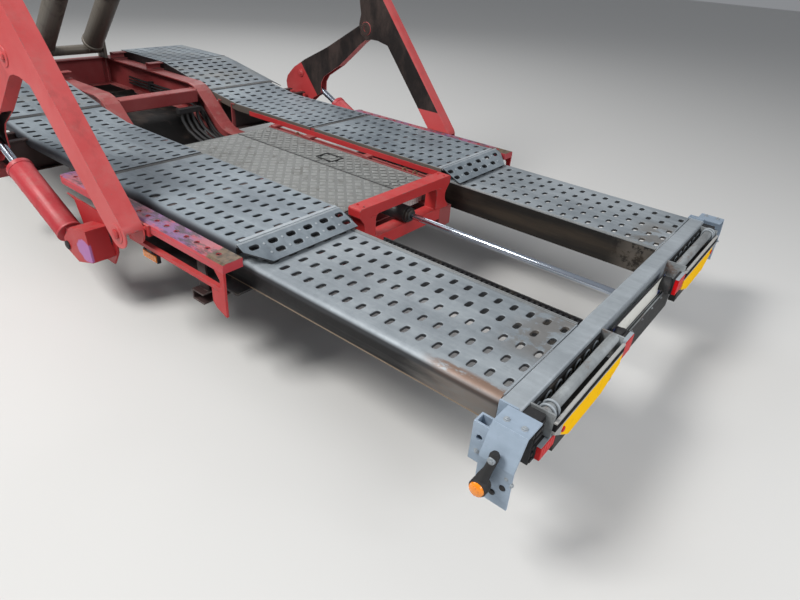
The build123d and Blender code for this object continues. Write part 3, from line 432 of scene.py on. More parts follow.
# Nodes that are shown as they are, by how their names start; all others are red
NODE_LOOKS = {
    "chrome": ("extension_rod", "lift_rod"), "rubber": ("rear_skirt", "marker_lamps"),
    "black": ("extension_barrel", "extension_gland", "slide_guides", "perforated_panels"),
    "hood": ("cylinder_brackets", "foot_shoe", "side_posts"),
    "under": ("outriggers", "cross_members", "deck_ribs"), "deck": ("rear_deck", "mid_deck"),
    "hump": "hump_deck", "flap": "flap", "track": "extension_track", "zinc": "rear_cross_beam",
    "bracket": "end_brackets", "bar": "rear_bars", "chain": "cable_chain", "props": "prop_",
    "tread": "hatch_", "board": "light_boards", "lens": "board_lamps", "plate": "number_plate",
    "worn": "side_rails", "leg": "lift_leg", "arm": "lift_arm", "cylinder": "lift_barrel",
    "portal": "rear_portal", "rail": "chassis_rail",
}
BEVELS = {"lift_leg": 0.004, "lift_arm": 0.003, "rear_portal": 0.003, "rear_cross_beam": 0.003}
FINE_BEVEL = 0.0018


def soften(made, width):
    """Rounds a piece's edges."""
    bevel = made.modifiers.new("bevel", "BEVEL")
    bevel.width = width
    bevel.segments = 2
    bevel.limit_method = "ANGLE"
    bevel.angle_limit = math.radians(35)
    bevel.harden_normals = True


for node_name, node in NODES.items():
    look = next((look for look, starts in NODE_LOOKS.items() if node_name.startswith(starts)), "red")
    node.data.materials.clear()
    node.data.materials.append(MATERIALS[look])
    weld = node.modifiers.new("weld", "WELD")
    weld.merge_threshold = 0.00002
    soften(node, next((width for start, width in BEVELS.items() if node_name.startswith(start)), FINE_BEVEL))


# Mesh helpers
def mesh_object(name, bm, body, look, smooth=40.0, bevel=0.0):
    """Turns a bmesh into a piece that rides on a body."""
    bmesh.ops.recalc_face_normals(bm, faces=bm.faces)
    data = bpy.data.meshes.new(name)
    bm.to_mesh(data)
    bm.free()
    for face in data.polygons:
        face.use_smooth = True
    data.set_sharp_from_angle(angle=math.radians(smooth))
    data.materials.append(MATERIALS[look])
    made = bpy.data.objects.new(name, data)
    scene.collection.objects.link(made)
    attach(made, body)
    if bevel:
        soften(made, bevel)
    return made


def circle(steps):
    """Points round the unit circle."""
    return [(math.cos(2 * math.pi * k / steps), math.sin(2 * math.pi * k / steps)) for k in range(steps)]


OUT, IN, REAR, UP, DOWN = (0, 1, 0), (0, -1, 0), (1, 0, 0), (0, 0, 1), (0, 0, -1)


class Piece:
    """A mesh that is put together from closed solids. What is added is mirrored across the middle plane while
    its side is -1, the left one."""

    def __init__(self, side=1):
        self.bm = bmesh.new()
        self.side = side

    def mirrored(self, point):
        return Vector((point[0], point[1] * self.side, point[2]))

    def rings(self, rings, closed=False):
        """Skins rings of as many points. The two ends are capped, or joined if the rings go round."""
        made = [[self.bm.verts.new(p) for p in ring] for ring in rings]
        n = len(made[0])
        for a, b in zip(made, made[1:] + (made[:1] if closed else [])):
            for i in range(n):
                self.bm.faces.new((a[i], a[(i + 1) % n], b[(i + 1) % n], b[i]))
        if not closed:
            self.bm.faces.new(made[0][::-1])
            self.bm.faces.new(made[-1])
        return self

    def box(self, x0, x1, y0, y1, z0, z1):
        return self.prism("Z", z0, z1, ((x0, y0), (x1, y0), (x1, y1), (x0, y1)))

    def prism(self, axis, start, stop, outline):
        """A solid along an axis, from its outline on the other two."""
        spot = "XYZ".index(axis)
        return self.rings([[self.mirrored((*p[:spot], level, *p[spot:])) for p in outline]
                           for level in (start, stop)])

    def lathe(self, place, way, profile, steps=20, closed=False):
        """A turned solid. The profile's points are (along the way, radius), and a closed one makes a ring."""
        place, way = self.mirrored(place), self.mirrored(way).normalized()
        u = way.orthogonal().normalized()
        v = way.cross(u)
        return self.rings([[place + way * along + (u * c + v * s) * radius for c, s in circle(steps)]
                           for along, radius in profile], closed)

    def tube(self, points, radii, sides=8):
        """A bent rod. It has one radius, or one for each point."""
        points = [self.mirrored(p) for p in points]
        radii = [radii] * len(points) if isinstance(radii, float) else radii
        last = len(points) - 1
        ways = [(points[min(i + 1, last)] - points[max(i - 1, 0)]).normalized() for i in range(last + 1)]
        u = ways[0].orthogonal()
        made = []
        for place, way, radius in zip(points, ways, radii):
            u = (u - way * u.dot(way)).normalized()
            v = way.cross(u)
            made.append([place + (u * c + v * s) * radius for c, s in circle(sides)])
        return self.rings(made)

    def weld(self, start, stop, radius=0.004):
        """A bead of weld between two places."""
        start, stop = Vector(start), Vector(stop)
        steps = max(3, int((stop - start).length / 0.007))
        points = [start.lerp(stop, i / steps) for i in range(steps + 1)]
        self.tube(points, [radius * (0.82 + 0.28 * (i % 2)) for i in range(steps + 1)], 6)

    def bolt(self, place, way, size=0.012):
        """A hexagon head on its washer."""
        self.lathe(place, way, ((-0.001, size * 1.1), (size * 0.14, size * 1.1), (size * 0.18, size)), 14)
        self.lathe(place, way, ((0, size * 0.85), (size * 0.62, size * 0.85), (size * 0.72, size * 0.68)), 6)
        self.lathe(place, way, ((0, size * 0.45), (size * 0.95, size * 0.44), (size, size * 0.32)), 10)

    def cap(self, place, way, radius, height=0.012):
        """A pin's head with a chamfer on a wider washer."""
        self.lathe(place, way, ((-0.002, radius * 1.7), (0.003, radius * 1.7), (0.004, radius * 1.6)), 28)
        head = ((-0.002, radius), (height - 0.003, radius), (height, radius * 0.8))
        return self.lathe(place, way, head, 24)

    def done(self, name, body, look, bevel=0.0):
        return mesh_object(name, self.bm, body, look, bevel=bevel)


class Bend:
    """A line bent in one plane, walked by its developed length from its first point."""

    def __init__(self, points):
        self.points = [Vector(p) for p in points]
        self.marks = [0.0]
        for a, b in zip(self.points, self.points[1:]):
            self.marks.append(self.marks[-1] + (b - a).length)

    def at(self, distance):
        """(place, normal) at a developed length; the normal is 90 degrees left of the way walked."""
        last = len(self.points) - 2
        i = max(0, min(last, sum(1 for m in self.marks[1:-1] if m <= distance + 1e-9)))
        a, b = self.points[i], self.points[i + 1]
        way = (b - a).normalized()
        place = a + way * (distance - self.marks[i])
        if i > 0 and abs(distance - self.marks[i]) < 1e-9:
            before = (a - self.points[i - 1]).normalized()
            way = (way + before).normalized()
            lean = 1 / max(0.5, way.dot(before))
            return place, Vector((-way.y, way.x)) * lean
        return place, Vector((-way.y, way.x))

    def where(self, level):
        """The developed length at which the line reaches a level, on its longest run across it."""
        best = None
        for i, (a, b) in enumerate(zip(self.points, self.points[1:])):
            low, high = sorted((a.x, b.x))
            if low - 1e-9 <= level <= high + 1e-9 and high - low > 1e-6:
                if best is None or (b - a).length > best[0]:
                    share = (level - a.x) / (b.x - a.x)
                    best = ((b - a).length, self.marks[i] + share * (b - a).length)
        return best[1]


def arc(centre, radius, start, stop, steps):
    """Points on an arc, in degrees."""
    turns = [math.radians(start + (stop - start) * i / steps) for i in range(steps + 1)]
    return [(centre[0] + radius * math.cos(t), centre[1] + radius * math.sin(t)) for t in turns]


# A slot's width, length and corner radius, and the cells of sheet round it
SLOT = (0.0225, 0.048, 0.0108)
CELL_ALONG, WIDE_CELL, CELL_ACROSS = 0.039, 0.052, 0.058
SHEET, TRACK_SHEET = 0.005, 0.006
# How far each ring of a dished slot is outside it, and how deep
RINGS = ((0.005, 0.0), (0.0028, 0.0008), (0.0008, 0.0026), (0.0, 0.0055), (0.0, 0.014), (0.0022, 0.014))


def slot_outline(grow, wide, long, corner):
    """Outline of a slot, 4 points in each quarter, as (along, across) from its centre."""
    r = corner + grow
    points = []
    for quarter, (sx, sy) in enumerate(((1, 1), (-1, 1), (-1, -1), (1, -1))):
        cx, cy = sx * (wide / 2 - corner), sy * (long / 2 - corner)
        for step in range(4):
            a = math.radians(90 * quarter + 30 * step)
            points.append((cx + r * math.cos(a), cy + r * math.sin(a)))
    return points


def perforated(name, node, body, look, along, across, columns, rows, thick, side, special=None, trim=None,
               cell=CELL_ALONG):
    """A bent sheet with rows of dished slots, in place of a plain node. Columns and rows are places along the
    vehicle and across it. Special holds slots of another size, or None for no slot, by their column and row.
    Trim is the place and the way of a plane that cuts a corner off."""
    lines = []
    for bend, centres, half in ((along, columns, cell / 2), (across, rows, CELL_ACROSS / 2)):
        cuts = set(round(m, 7) for m in bend.marks)
        middles = [bend.where(c) for c in centres]
        for m in middles:
            cuts.update((round(m - half, 7), round(m + half, 7)))
        lines.append((sorted(cuts), [round(m, 7) for m in middles]))
    (s_cuts, s_mid), (t_cuts, t_mid) = lines
    bm = bmesh.new()
    known = {}

    def vertex(s, t, depth):
        key = (round(s, 6), round(t, 6), round(depth, 6))
        if key not in known:
            (x, z), (nx, nz) = along.at(s)
            (y, dz), (ny, mz) = across.at(t)
            place = (x - nx * depth, (y - ny * depth) * side, z + dz - nz * mz * depth)
            known[key] = bm.verts.new(place)
        return known[key]

    face = bm.faces.new
    holes = {}
    for i, m in enumerate(s_mid):
        for j, n in enumerate(t_mid):
            size = (special or {}).get((i, j), SLOT)
            if size:
                holes[m, n] = size
    for s0, s1 in zip(s_cuts, s_cuts[1:]):
        for t0, t1 in zip(t_cuts, t_cuts[1:]):
            centre = next(((m, n) for m, n in holes if s0 < m < s1 and t0 < n < t1), None)
            corners = ((s1, t1), (s0, t1), (s0, t0), (s1, t0))
            if centre is None:
                face([vertex(s, t, 0) for s, t in corners])
                face([vertex(s, t, thick) for s, t in corners[::-1]])
                continue
            rings = [[vertex(s, t, 0) for s, t in corners]]
            for grow, depth in RINGS + ((RINGS[-1][0], thick),):
                outline = slot_outline(grow, *holes[centre])
                rings.append([vertex(centre[0] + u, centre[1] + v, depth) for u, v in outline])
            rings.append([vertex(s, t, thick) for s, t in corners])
            for a, b in zip(rings[1:], rings[2:-1]):
                for k in range(16):
                    face((a[k], a[(k + 1) % 16], b[(k + 1) % 16], b[k]))
            for corner_ring, ring in ((rings[0], rings[1]), (rings[-1], rings[-2])):
                for q in range(4):
                    for k in range(3):
                        face((corner_ring[q], ring[4 * q + k + 1], ring[4 * q + k]))
                    face((corner_ring[q], corner_ring[(q + 1) % 4], ring[(4 * q + 4) % 16], ring[4 * q + 3]))
    # The sheet's four edges
    for s in (s_cuts[0], s_cuts[-1]):
        for t0, t1 in zip(t_cuts, t_cuts[1:]):
            face((vertex(s, t0, 0), vertex(s, t1, 0), vertex(s, t1, thick), vertex(s, t0, thick)))
    for t in (t_cuts[0], t_cuts[-1]):
        for s0, s1 in zip(s_cuts, s_cuts[1:]):
            face((vertex(s0, t, 0), vertex(s1, t, 0), vertex(s1, t, thick), vertex(s0, t, thick)))
    if trim:
        whole = [*bm.verts, *bm.edges, *bm.faces]
        bmesh.ops.bisect_plane(bm, geom=whole, plane_co=trim[0], plane_no=trim[1], clear_outer=True)
        bmesh.ops.holes_fill(bm, edges=[e for e in bm.edges if e.is_boundary])
    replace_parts(mesh_object(name, bm, body, look), node)


def level(first, last, pitch):
    """Evenly spaced places from first towards last."""
    step = math.copysign(pitch, last - first)
    return [first + step * i for i in range(int(abs(last - first) / pitch + 1e-6) + 1)]


# Perforated plates: where their rows of slots lie across the vehicle, and the one round hole's size
DECK_ROWS = [0.468 + 0.103 * n for n in range(6)]
HUMP_ROWS = [0.468 + 0.0944 * n for n in range(6)]
TRACK_ROWS = [0.52 + 0.10375 * n for n in range(5)]
FLAP_ROWS = [0.47 + 0.1015 * n for n in range(6)]
PITCH, REAR_PITCH = 0.0715, 0.0729
ROUND_HOLE, ROUND_HOLE_X = (0.042, 0.0525, 0.0205), 2.975
# Places along the vehicle: the mid plate's bend, the hump's ridge, the flap's hinge and its two columns
BEND_X, RIDGE_X, HINGE_X, FLAP_COLUMNS = 1.75, 0.8, 3.665, (3.703, 3.752)
ROUND, INNER_ROUND, TRACK_ROUND, TRACK_SIDE = 0.03, 0.006, 0.034, 0.108
HUMP_REAR_Z, HUMP_TOP_Z, WING_Y, WING_DROP = 0.0485, 0.149, 1.16, 0.055
FLAP_Z, FLAP_TIP_Z, FLAP_CUT = 0.0025, -0.054, 0.086
RIVET = ((-0.002, 0.006), (0.0015, 0.006), (0.003, 0.004))
# Under the hump's inner edge, as (x, z)
SKIRT = ((0.15, 0.03), (0.15, HUMP_TOP_Z), (RIDGE_X, HUMP_TOP_Z), (1.4, 0.043), (1.4, 0), (RIDGE_X, 0.03))

for name, side in SIDES:
    low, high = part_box(f"rear_deck_{name}")
    y0, y1 = sorted((abs(low.y), abs(high.y)))
    folded = Bend([(y0, low.z), *arc((y0 + INNER_ROUND, -INNER_ROUND), INNER_ROUND, 180, 90, 3),
                   *arc((y1 - ROUND, -ROUND), ROUND, 90, 0, 6), (y1, low.z)])
    columns = level(high.x - 0.035, low.x + 0.035, REAR_PITCH)
    near = min(range(len(columns)), key=lambda i: abs(columns[i] - ROUND_HOLE_X))
    perforated(f"rear_plate_{name}", f"rear_deck_{name}", "chassis", "deck", Bend([(low.x, 0), (high.x, 0)]),
               folded, columns, DECK_ROWS, SHEET, side, {(near, 5): ROUND_HOLE} if side < 0 else None,
               cell=WIDE_CELL)

    low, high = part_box(f"mid_deck_{name}")
    columns = [x for x in level(high.x - 0.038, low.x + 0.035, PITCH) if abs(x - BEND_X) > 0.028]
    perforated(f"mid_plate_{name}", f"mid_deck_{name}", "chassis", "deck",
               Bend([(low.x, high.z), (BEND_X, 0), (high.x, 0)]), folded, columns, DECK_ROWS, SHEET, side)

    low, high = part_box(f"hump_deck_{name}")
    columns = level(RIDGE_X - 0.052, low.x + 0.035, PITCH) + level(RIDGE_X + 0.052, high.x - 0.03, PITCH)
    perforated(f"hump_plate_{name}", f"hump_deck_{name}", "chassis", "hump",
               Bend([(low.x, high.z), (RIDGE_X, high.z), (high.x, HUMP_REAR_Z)]),
               Bend([(y0, 0), (y1, 0), (WING_Y, -WING_DROP)]), columns, HUMP_ROWS, SHEET, side)

    low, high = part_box(f"extension_track_{name}")
    y0, y1 = sorted((abs(low.y), abs(high.y)))
    top, groove = high.z, high.z - 0.003
    across = Bend([(y0, low.z), (y0, top), (y0 + 0.014, top), (y0 + 0.016, groove), (y0 + 0.023, groove),
                   (y0 + 0.025, top), *arc((y1 - TRACK_ROUND, top - TRACK_ROUND), TRACK_ROUND, 90, 0, 8),
                   (y1, top - TRACK_SIDE)])
    perforated(f"track_plate_{name}", f"extension_track_{name}", "extension", "track",
               Bend([(low.x, 0), (high.x, 0)]), across, level(high.x - 0.02, low.x + 0.04, PITCH), TRACK_ROWS,
               TRACK_SHEET, side)
    lips = Piece(side)
    for y in (0.4465, 0.4565):
        lips.box(3.3, high.x - 0.001, y, y + 0.0065, top - 0.0025, top + 0.004)
    lips.done(f"track_lips_{name}", "extension", "lip", 0.001)

    low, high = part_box(f"flap_{name}")
    y0, y1 = sorted((abs(low.y), abs(high.y)))
    slope = Bend([(HINGE_X, FLAP_Z), (high.x, FLAP_TIP_Z)])
    corner = (Vector((high.x - FLAP_CUT, side * y1, 0)), Vector((1, side, 0)).normalized())
    perforated(f"flap_plate_{name}", f"flap_{name}", f"flap_{name}", "flap", slope, Bend([(y0, 0), (y1, 0)]),
               FLAP_COLUMNS, FLAP_ROWS, TRACK_SHEET, side, {(1, 5): None}, corner)
    hinge = Piece(side)
    hinge.lathe((HINGE_X, y0, -0.0025), OUT, ((0, 0.0068), (y1 - y0, 0.0068)), 16)
    for y in FLAP_ROWS[:5]:
        for x in FLAP_COLUMNS:
            z = FLAP_Z + (x - HINGE_X) * (FLAP_TIP_Z - FLAP_Z) / (high.x - HINGE_X)
            hinge.lathe((x, y + 0.051, z), (0.4, 0, 1), RIVET, 10)
    hinge.done(f"flap_hinge_{name}", f"flap_{name}", "zinc")
    strip = Piece(side).box(HINGE_X - 0.03, HINGE_X - 0.009, y0, y1 - 0.028, -0.0005, 0.0045)
    strip.done(f"deck_edge_{name}", "chassis", "zinc", 0.0015)

    # Seams between the plates, the skirt under the hump's inner edge and the angle under the decks'
    seams = Piece(side).box(2.547, 2.587, 0.44, 1.034, -0.04, -0.003)
    seams.box(RIDGE_X - 0.004, RIDGE_X + 0.004, 0.434, 1.04, 0.1545, 0.1568)
    seams.prism("Y", 0.434, 1.04, ((1.413, 0.036), (1.413, 0.0475), (1.441, 0.044), (1.441, 0.034)))
    seams.done(f"plate_seams_{name}", "chassis", "grease", 0.001)
    Piece(side).prism("Y", 0.4335, 0.4375, SKIRT).done(f"hump_skirt_{name}", "chassis", "black")
    angle = Piece(side).box(1.9, 3.655, 0.4255, 0.431, -0.054, -0.021)
    angle.done(f"deck_angle_{name}", "chassis", "hood", 0.001)


# Chequer plate: groups of five bars that turn by 90 degrees from one group to the next
GROUP, BAR_LENGTH, BAR_WIDTH, BAR_HEIGHT, BAR_STEP = 0.05, 0.036, 0.0034, 0.0016, 0.0072
BAR_SUNK, BAR_TAPER, MARGIN = 0.0004, 0.72, 0.006


def chequer(name, node, body, x0, x1, y0, y1):
    """Raised bars on a flat node, inside a rectangle."""
    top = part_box(node)[1].z
    bm = bmesh.new()
    reach = int((x1 - x0 + y1 - y0) / GROUP) + 2
    for i in range(-reach, reach):
        for j in range(-reach, reach):
            cx = (i + j) * GROUP * math.sqrt(0.5)
            cy = (i - j) * GROUP * math.sqrt(0.5)
            turn = math.radians(45 if (i + j) % 2 == 0 else -45)
            way, cross = Vector((math.cos(turn), math.sin(turn))), Vector((-math.sin(turn), math.cos(turn)))
            point, half = way * 0.18, cross * 0.5
            for k in range(-2, 3):
                middle = Vector((x0 + cx, (y0 + y1) / 2 + cy)) + cross * (k * BAR_STEP)
                start, stop = [middle + way * (BAR_LENGTH / 2 * e) for e in (-1, 1)]
                if not all(x0 < e.x < x1 and y0 < e.y < y1 for e in (start, stop)):
                    continue
                outline = [start, start + (point - half) * BAR_WIDTH * 2,
                           stop - (point + half) * BAR_WIDTH * 2, stop,
                           stop - (point - half) * BAR_WIDTH * 2, start + (point + half) * BAR_WIDTH * 2]
                centre = sum(outline, Vector((0, 0))) / 6
                foot = [bm.verts.new((*p, top - BAR_SUNK)) for p in outline]
                outline = [centre + (p - centre) * BAR_TAPER for p in outline]
                crest = [bm.verts.new((*p, top + BAR_HEIGHT)) for p in outline]
                for a in range(6):
                    bm.faces.new((foot[a], foot[(a + 1) % 6], crest[(a + 1) % 6], crest[a]))
                bm.faces.new(crest)
                bm.faces.new(foot[::-1])
    mesh_object(name, bm, body, "bars", 25)


low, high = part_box("hatch_plate")
lid_low, lid_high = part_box("hatch_lid")
chequer("hatch_bars", "hatch_plate", "chassis", low.x + MARGIN, high.x - MARGIN, low.y + MARGIN,
        lid_low.y - MARGIN)
chequer("lid_bars", "hatch_lid", "hatch_lid", lid_low.x + MARGIN, lid_high.x - MARGIN, lid_low.y + 0.005,
        lid_high.y - 0.012)

# Places on the lift linkage, as in the frame: (x, z) of its pins, and y of the faces of its leg and arm
PIVOT, HUB, FOOT = (1.62, -0.06), (2.3697, 0.5602), (3.1194, -0.06)
ELBOW, CYLINDER, LEG_TOP = (1.6396, 0.1328), (2.5604, -0.313), (1.8986, 1.3959)
LEG_IN, LEG_OUT, ARM_IN, ARM_OUT, MIDDLE_Y = 1.176, 1.268, 1.189, 1.255, 1.222
PIN_BORE = 0.0215


# Turned profiles of the side cylinder, the course of its pipe, and the rolled end of its side rail
GLAND = ((-0.024, 0.064), (-0.022, 0.0668), (0.002, 0.0668), (0.008, 0.061), (0.01, 0.038), (0.01, 0.0235),
         (-0.006, 0.0235))
END_WELD = ((0.072, 0.058), (0.074, 0.0655), (0.08, 0.0668), (0.086, 0.065), (0.086, 0.058))
WIPER = ((0.008, 0.035), (0.017, 0.033), (0.019, 0.029), (0.019, 0.0232), (0.008, 0.0232))
PIPE = ((0.135, 0.078), (0.137, 0.092), (0.15, 0.097), (0.5, 0.097), (0.516, 0.092), (0.52, 0.078))
NOSE = ((2.3805, 1.0605), (2.366, 1.0625), (2.352, 1.072), (2.3455, 1.09), (2.3455, 1.13), (2.352, 1.148),
        (2.366, 1.1575), (2.3805, 1.1595))
RIM = ((-0.005, 0.0106), (0.0006, 0.011), (0.0014, 0.0122), (0.0012, 0.014), (-0.001, 0.015), (-0.005, 0.015))


def ring(along, thick, inner, outer):
    """Closed profile of a ring with a chamfered rim."""
    end = along + thick
    return ((along, inner), (along, outer), (along + thick * 0.7, outer), (end, outer - thick * 0.3),
            (end, inner))


def pin(place, y):
    """A place on the linkage at a distance from the middle plane."""
    return (place[0], y, place[1])


for name, side in SIDES:
    pins = Piece(side)
    for place, bore in ((HUB, 0.0208), (LEG_TOP, 0.0223)):
        for y, way in ((LEG_OUT, OUT), (LEG_IN, IN)):
            pins.lathe(pin(place, y), way, ring(-0.002, 0.006, bore, 0.046), 32, True)
    pins.lathe(pin(FOOT, LEG_OUT), OUT, ring(-0.002, 0.005, PIN_BORE, 0.046), 32, True)
    pins.lathe(pin(HUB, LEG_OUT + 0.003), OUT, ((-0.002, 0.021), (0.007, 0.021), (0.01, 0.017)), 24)
    pins.done(f"leg_bosses_{name}", f"lift_leg_{name}", "leg")

    foot = Piece(side)
    foot.lathe(pin(FOOT, LEG_OUT + 0.007), OUT, ((-0.002, 0.023), (0.004, 0.023), (0.007, 0.018)), 24)
    for x in (-0.068, 0.068):
        foot.bolt((FOOT[0] + x, 1.171, -0.04), OUT, 0.01)
    foot.done(f"foot_pin_{name}", f"foot_shoe_{name}", "hood")

    arm = Piece(side)
    for y, way in ((ARM_OUT, OUT), (ARM_IN, IN)):
        arm.lathe(pin(PIVOT, y), way, ring(-0.002, 0.004, PIN_BORE, 0.052), 32, True)
        arm.cap(pin(ELBOW, y + 0.003 * way[1]), way, 0.018, 0.008)
    arm.done(f"arm_bosses_{name}", f"lift_arm_{name}", "arm")

    pivot = Piece(side)
    for y, way in ((ARM_OUT + 0.003, OUT), (ARM_IN - 0.003, IN)):
        pivot.lathe(pin(PIVOT, y), way, ((0, 0.026), (0.005, 0.026), (0.008, 0.021)), 24)
    for x in (-0.066, 0.066):
        for y in (1.18, 1.245):
            pivot.bolt((PIVOT[0] + x, y, -0.15), UP, 0.011)
    pivot.done(f"pivot_pin_{name}", "chassis", "hood")

    hood = Piece(side)
    hood.lathe(pin(CYLINDER, 1.2755), OUT, ((-0.004, 0.023), (0.003, 0.023), (0.005, 0.018)), 24)
    hood.weld((2.8, 1.16, -0.168), (2.8, 1.16, -0.316))
    hood.done(f"hood_pin_{name}", "chassis", "rubber")

    # Side cylinder: gland, wiper, end weld, port and pipe
    start = Vector(pin(CYLINDER, MIDDLE_Y))
    way = Vector((ELBOW[0] - CYLINDER[0], 0, ELBOW[1] - CYLINDER[1]))
    mouth = start + way * 0.575
    way.normalize()
    under = (Vector((way.z, 0, -way.x)) * -0.8 + Vector((0, -0.6, 0))).normalized()
    barrel = Piece(side)
    barrel.lathe(mouth, way, GLAND, 40, True)
    barrel.lathe(start, way, END_WELD, 40, True)
    for along in (PIPE[0][0], PIPE[-1][0]):
        barrel.lathe(start + way * along, under, ((0.055, 0.015), (0.078, 0.015), (0.081, 0.012)), 16)
    barrel.done(f"cylinder_rings_{name}", f"lift_barrel_{name}", "cylinder")
    wiper = Piece(side)
    wiper.lathe(mouth, way, WIPER, 32, True)
    wiper.tube([start + way * along + under * off for along, off in PIPE], 0.0055, 10)
    wiper.done(f"cylinder_pipe_{name}", f"lift_barrel_{name}", "black")

    # Side rail: rims of the holes, a rounded front end, and a marker under the chord
    rims = Piece(side)
    for n in range(17):
        rims.lathe((3.64 - 0.075 * n, 1.11, -0.022), UP, RIM, 20, True)
    rims.done(f"rail_rims_{name}", "chassis", "worn")
    Piece(side).prism("Z", -0.0635, -0.0225, NOSE).done(f"rail_nose_{name}", "chassis", "worn", 0.005)
    case = Piece(side).box(3.066, 3.184, 1.12, 1.1385, -0.236, -0.19)
    case.box(3.105, 3.145, 1.1365, 1.1405, -0.2, -0.15)
    case.done(f"side_marker_case_{name}", "chassis", "black", 0.002)
    lens = Piece(side)
    for k in range(6):
        lens.box(3.0705 + 0.0185 * k, 3.0875 + 0.0185 * k, 1.137, 1.1435, -0.231, -0.195)
    lens.done(f"side_marker_lens_{name}", "chassis", "amber", 0.0022)

    # Bolts and welds on the frame
    trim = Piece(side)
    for x in (3.7, 3.742):
        trim.bolt((x, 0.34, 0), UP, 0.007)
    trim.weld((3.7605, 0.264, -0.06), (3.7605, 0.3, -0.06), 0.003)
    trim.weld((3.7605, 0.262, -0.183), (3.7605, 0.308, -0.183), 0.004)
    trim.done(f"portal_bolts_{name}", "chassis", "portal")
    weld = Piece(side)
    weld.weld((1.333, 0.309, 0.062), (1.428, 0.309, 0.062))
    weld.weld((0.082, 0.309, 0.093), (0.082, 0.309, -0.133))
    for x in (1.52, 1.68):
        weld.weld((x, 1.162, -0.198), (x, 1.162, -0.172))
    weld.done(f"frame_welds_{name}", "chassis", "red")
    joint = Piece(side)
    joint.weld((4.9325, 0.455, -0.0735), (4.9325, 1.0, -0.0735), 0.0032)
    joint.weld((4.938, 1.0315, -0.078), (5.004, 1.0315, -0.078), 0.0032)
    joint.done(f"beam_weld_{name}", "extension", "zinc")

# Centre props: collars and pins
lean = math.radians(43)
for name, side in SIDES:
    foot, way = Vector((0.07, 0.2, 0.17)), Vector((math.cos(lean), 0, math.sin(lean)))
    collars = Piece(side)
    for along, thick in ((0.756, 0.026), (1.612, 0.032)):
        collars.lathe(foot, way, ring(along, thick, 0.0805, 0.101), 40, True)
    for turn in range(6):
        a = math.radians(60 * turn)
        out = Vector((0, math.cos(a), 0)) + Vector((-way.z, 0, way.x)) * math.sin(a)
        collars.bolt(foot + way * 0.769 + out * 0.1, out, 0.006)
    collars.done(f"prop_collars_{name}", "prop_sleeves", "props")
    feet = Piece(side).lathe(foot, way, ring(0.088, 0.03, 0.06, 0.085), 36, True)
    feet.done(f"prop_feet_{name}", "prop_tubes", "props")
    Piece(side).cap((0.07, 0.3095, 0.17), OUT, 0.022, 0.014).done(f"prop_pin_{name}", "chassis", "rubber")

# Hatch: handle, latch, gap, hooks and the valve case under it
handle = Piece()
corners = ((2.89, 0.16), (3.024, 0.16), (3.024, 0.262), (2.89, 0.262))
for a, b in zip(corners, corners[1:] + corners[:1]):
    handle.tube([(*a, -0.0645), (*b, -0.0645)], 0.0055, 8)
handle.done("lid_handle", "hatch_lid", "black")
latch = Piece().box(3.545, 3.573, 0.18, 0.198, -0.0705, -0.0685)
latch.box(3.5, 3.508, 0.112, 0.352, -0.0705, -0.069)
latch.done("lid_latch", "hatch_lid", "grease")
Piece().box(2.19, 3.6, 0.0975, 0.1028, -0.0705, -0.0664).done("lid_gap", "chassis", "grease")
hooks = Piece()
for x in (2.454, 3.41, 3.49):
    hooks.tube([(x, 0.381, -0.085), (x, 0.381, -0.062), (x, 0.386, -0.054), (x, 0.398, -0.052),
                (x + 0.004, 0.406, -0.056), (x + 0.012, 0.41, -0.068), (x + 0.02, 0.409, -0.085)], 0.0048, 8)
hooks.done("lid_hooks", "chassis", "rust")
case = Piece().box(3.52, 3.598, 0.125, 0.3435, -0.2, -0.092)
for k in range(9):
    case.box(3.597, 3.603, 0.133 + 0.0235 * k, 0.146 + 0.0235 * k, -0.196, -0.096)
case.done("valve_case", "chassis", "grey", 0.002)

# Head of the extension cylinder
HEAD = ((0, 0.017), (0, 0.04), (0.014, 0.04), (0.016, 0.038), (0.017, 0.033), (0.026, 0.0325), (0.029, 0.029),
        (0.03, 0.017))
gland = Piece().lathe((3.76, 0, -0.131), REAR, HEAD, 40, True)
for turn in range(4):
    a = math.radians(45 + 90 * turn)
    gland.bolt((3.776, 0.0365 * math.cos(a), -0.131 + 0.0365 * math.sin(a)), REAR, 0.004)
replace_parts(gland.done("gland_head", "chassis", "black"), "extension_gland")

# Between the necks of the rails: clamped pipes, a belly plate with ribs, and hoses. Courses are (x, z).
NECK = ((0.4, -0.02), (1.3, -0.02), (1.385, -0.035), (1.45, -0.085), (1.53, -0.17), (1.59, -0.22),
        (1.66, -0.245), (2.15, -0.25))
pipes = Piece()
for _, pipes.side in SIDES:
    for n in range(3):
        pipes.tube([(x - 0.012 * n, 0.334 + 0.004 * n, z - 0.026 * n) for x, z in NECK], 0.0085, 8)
    for x, z in ((0.7, -0.02), (1.2, -0.02), (1.9, -0.248)):
        pipes.box(x, x + 0.03, 0.325, 0.3635, z - 0.066, z + 0.014)
pipes.done("neck_pipes", "chassis", "black")
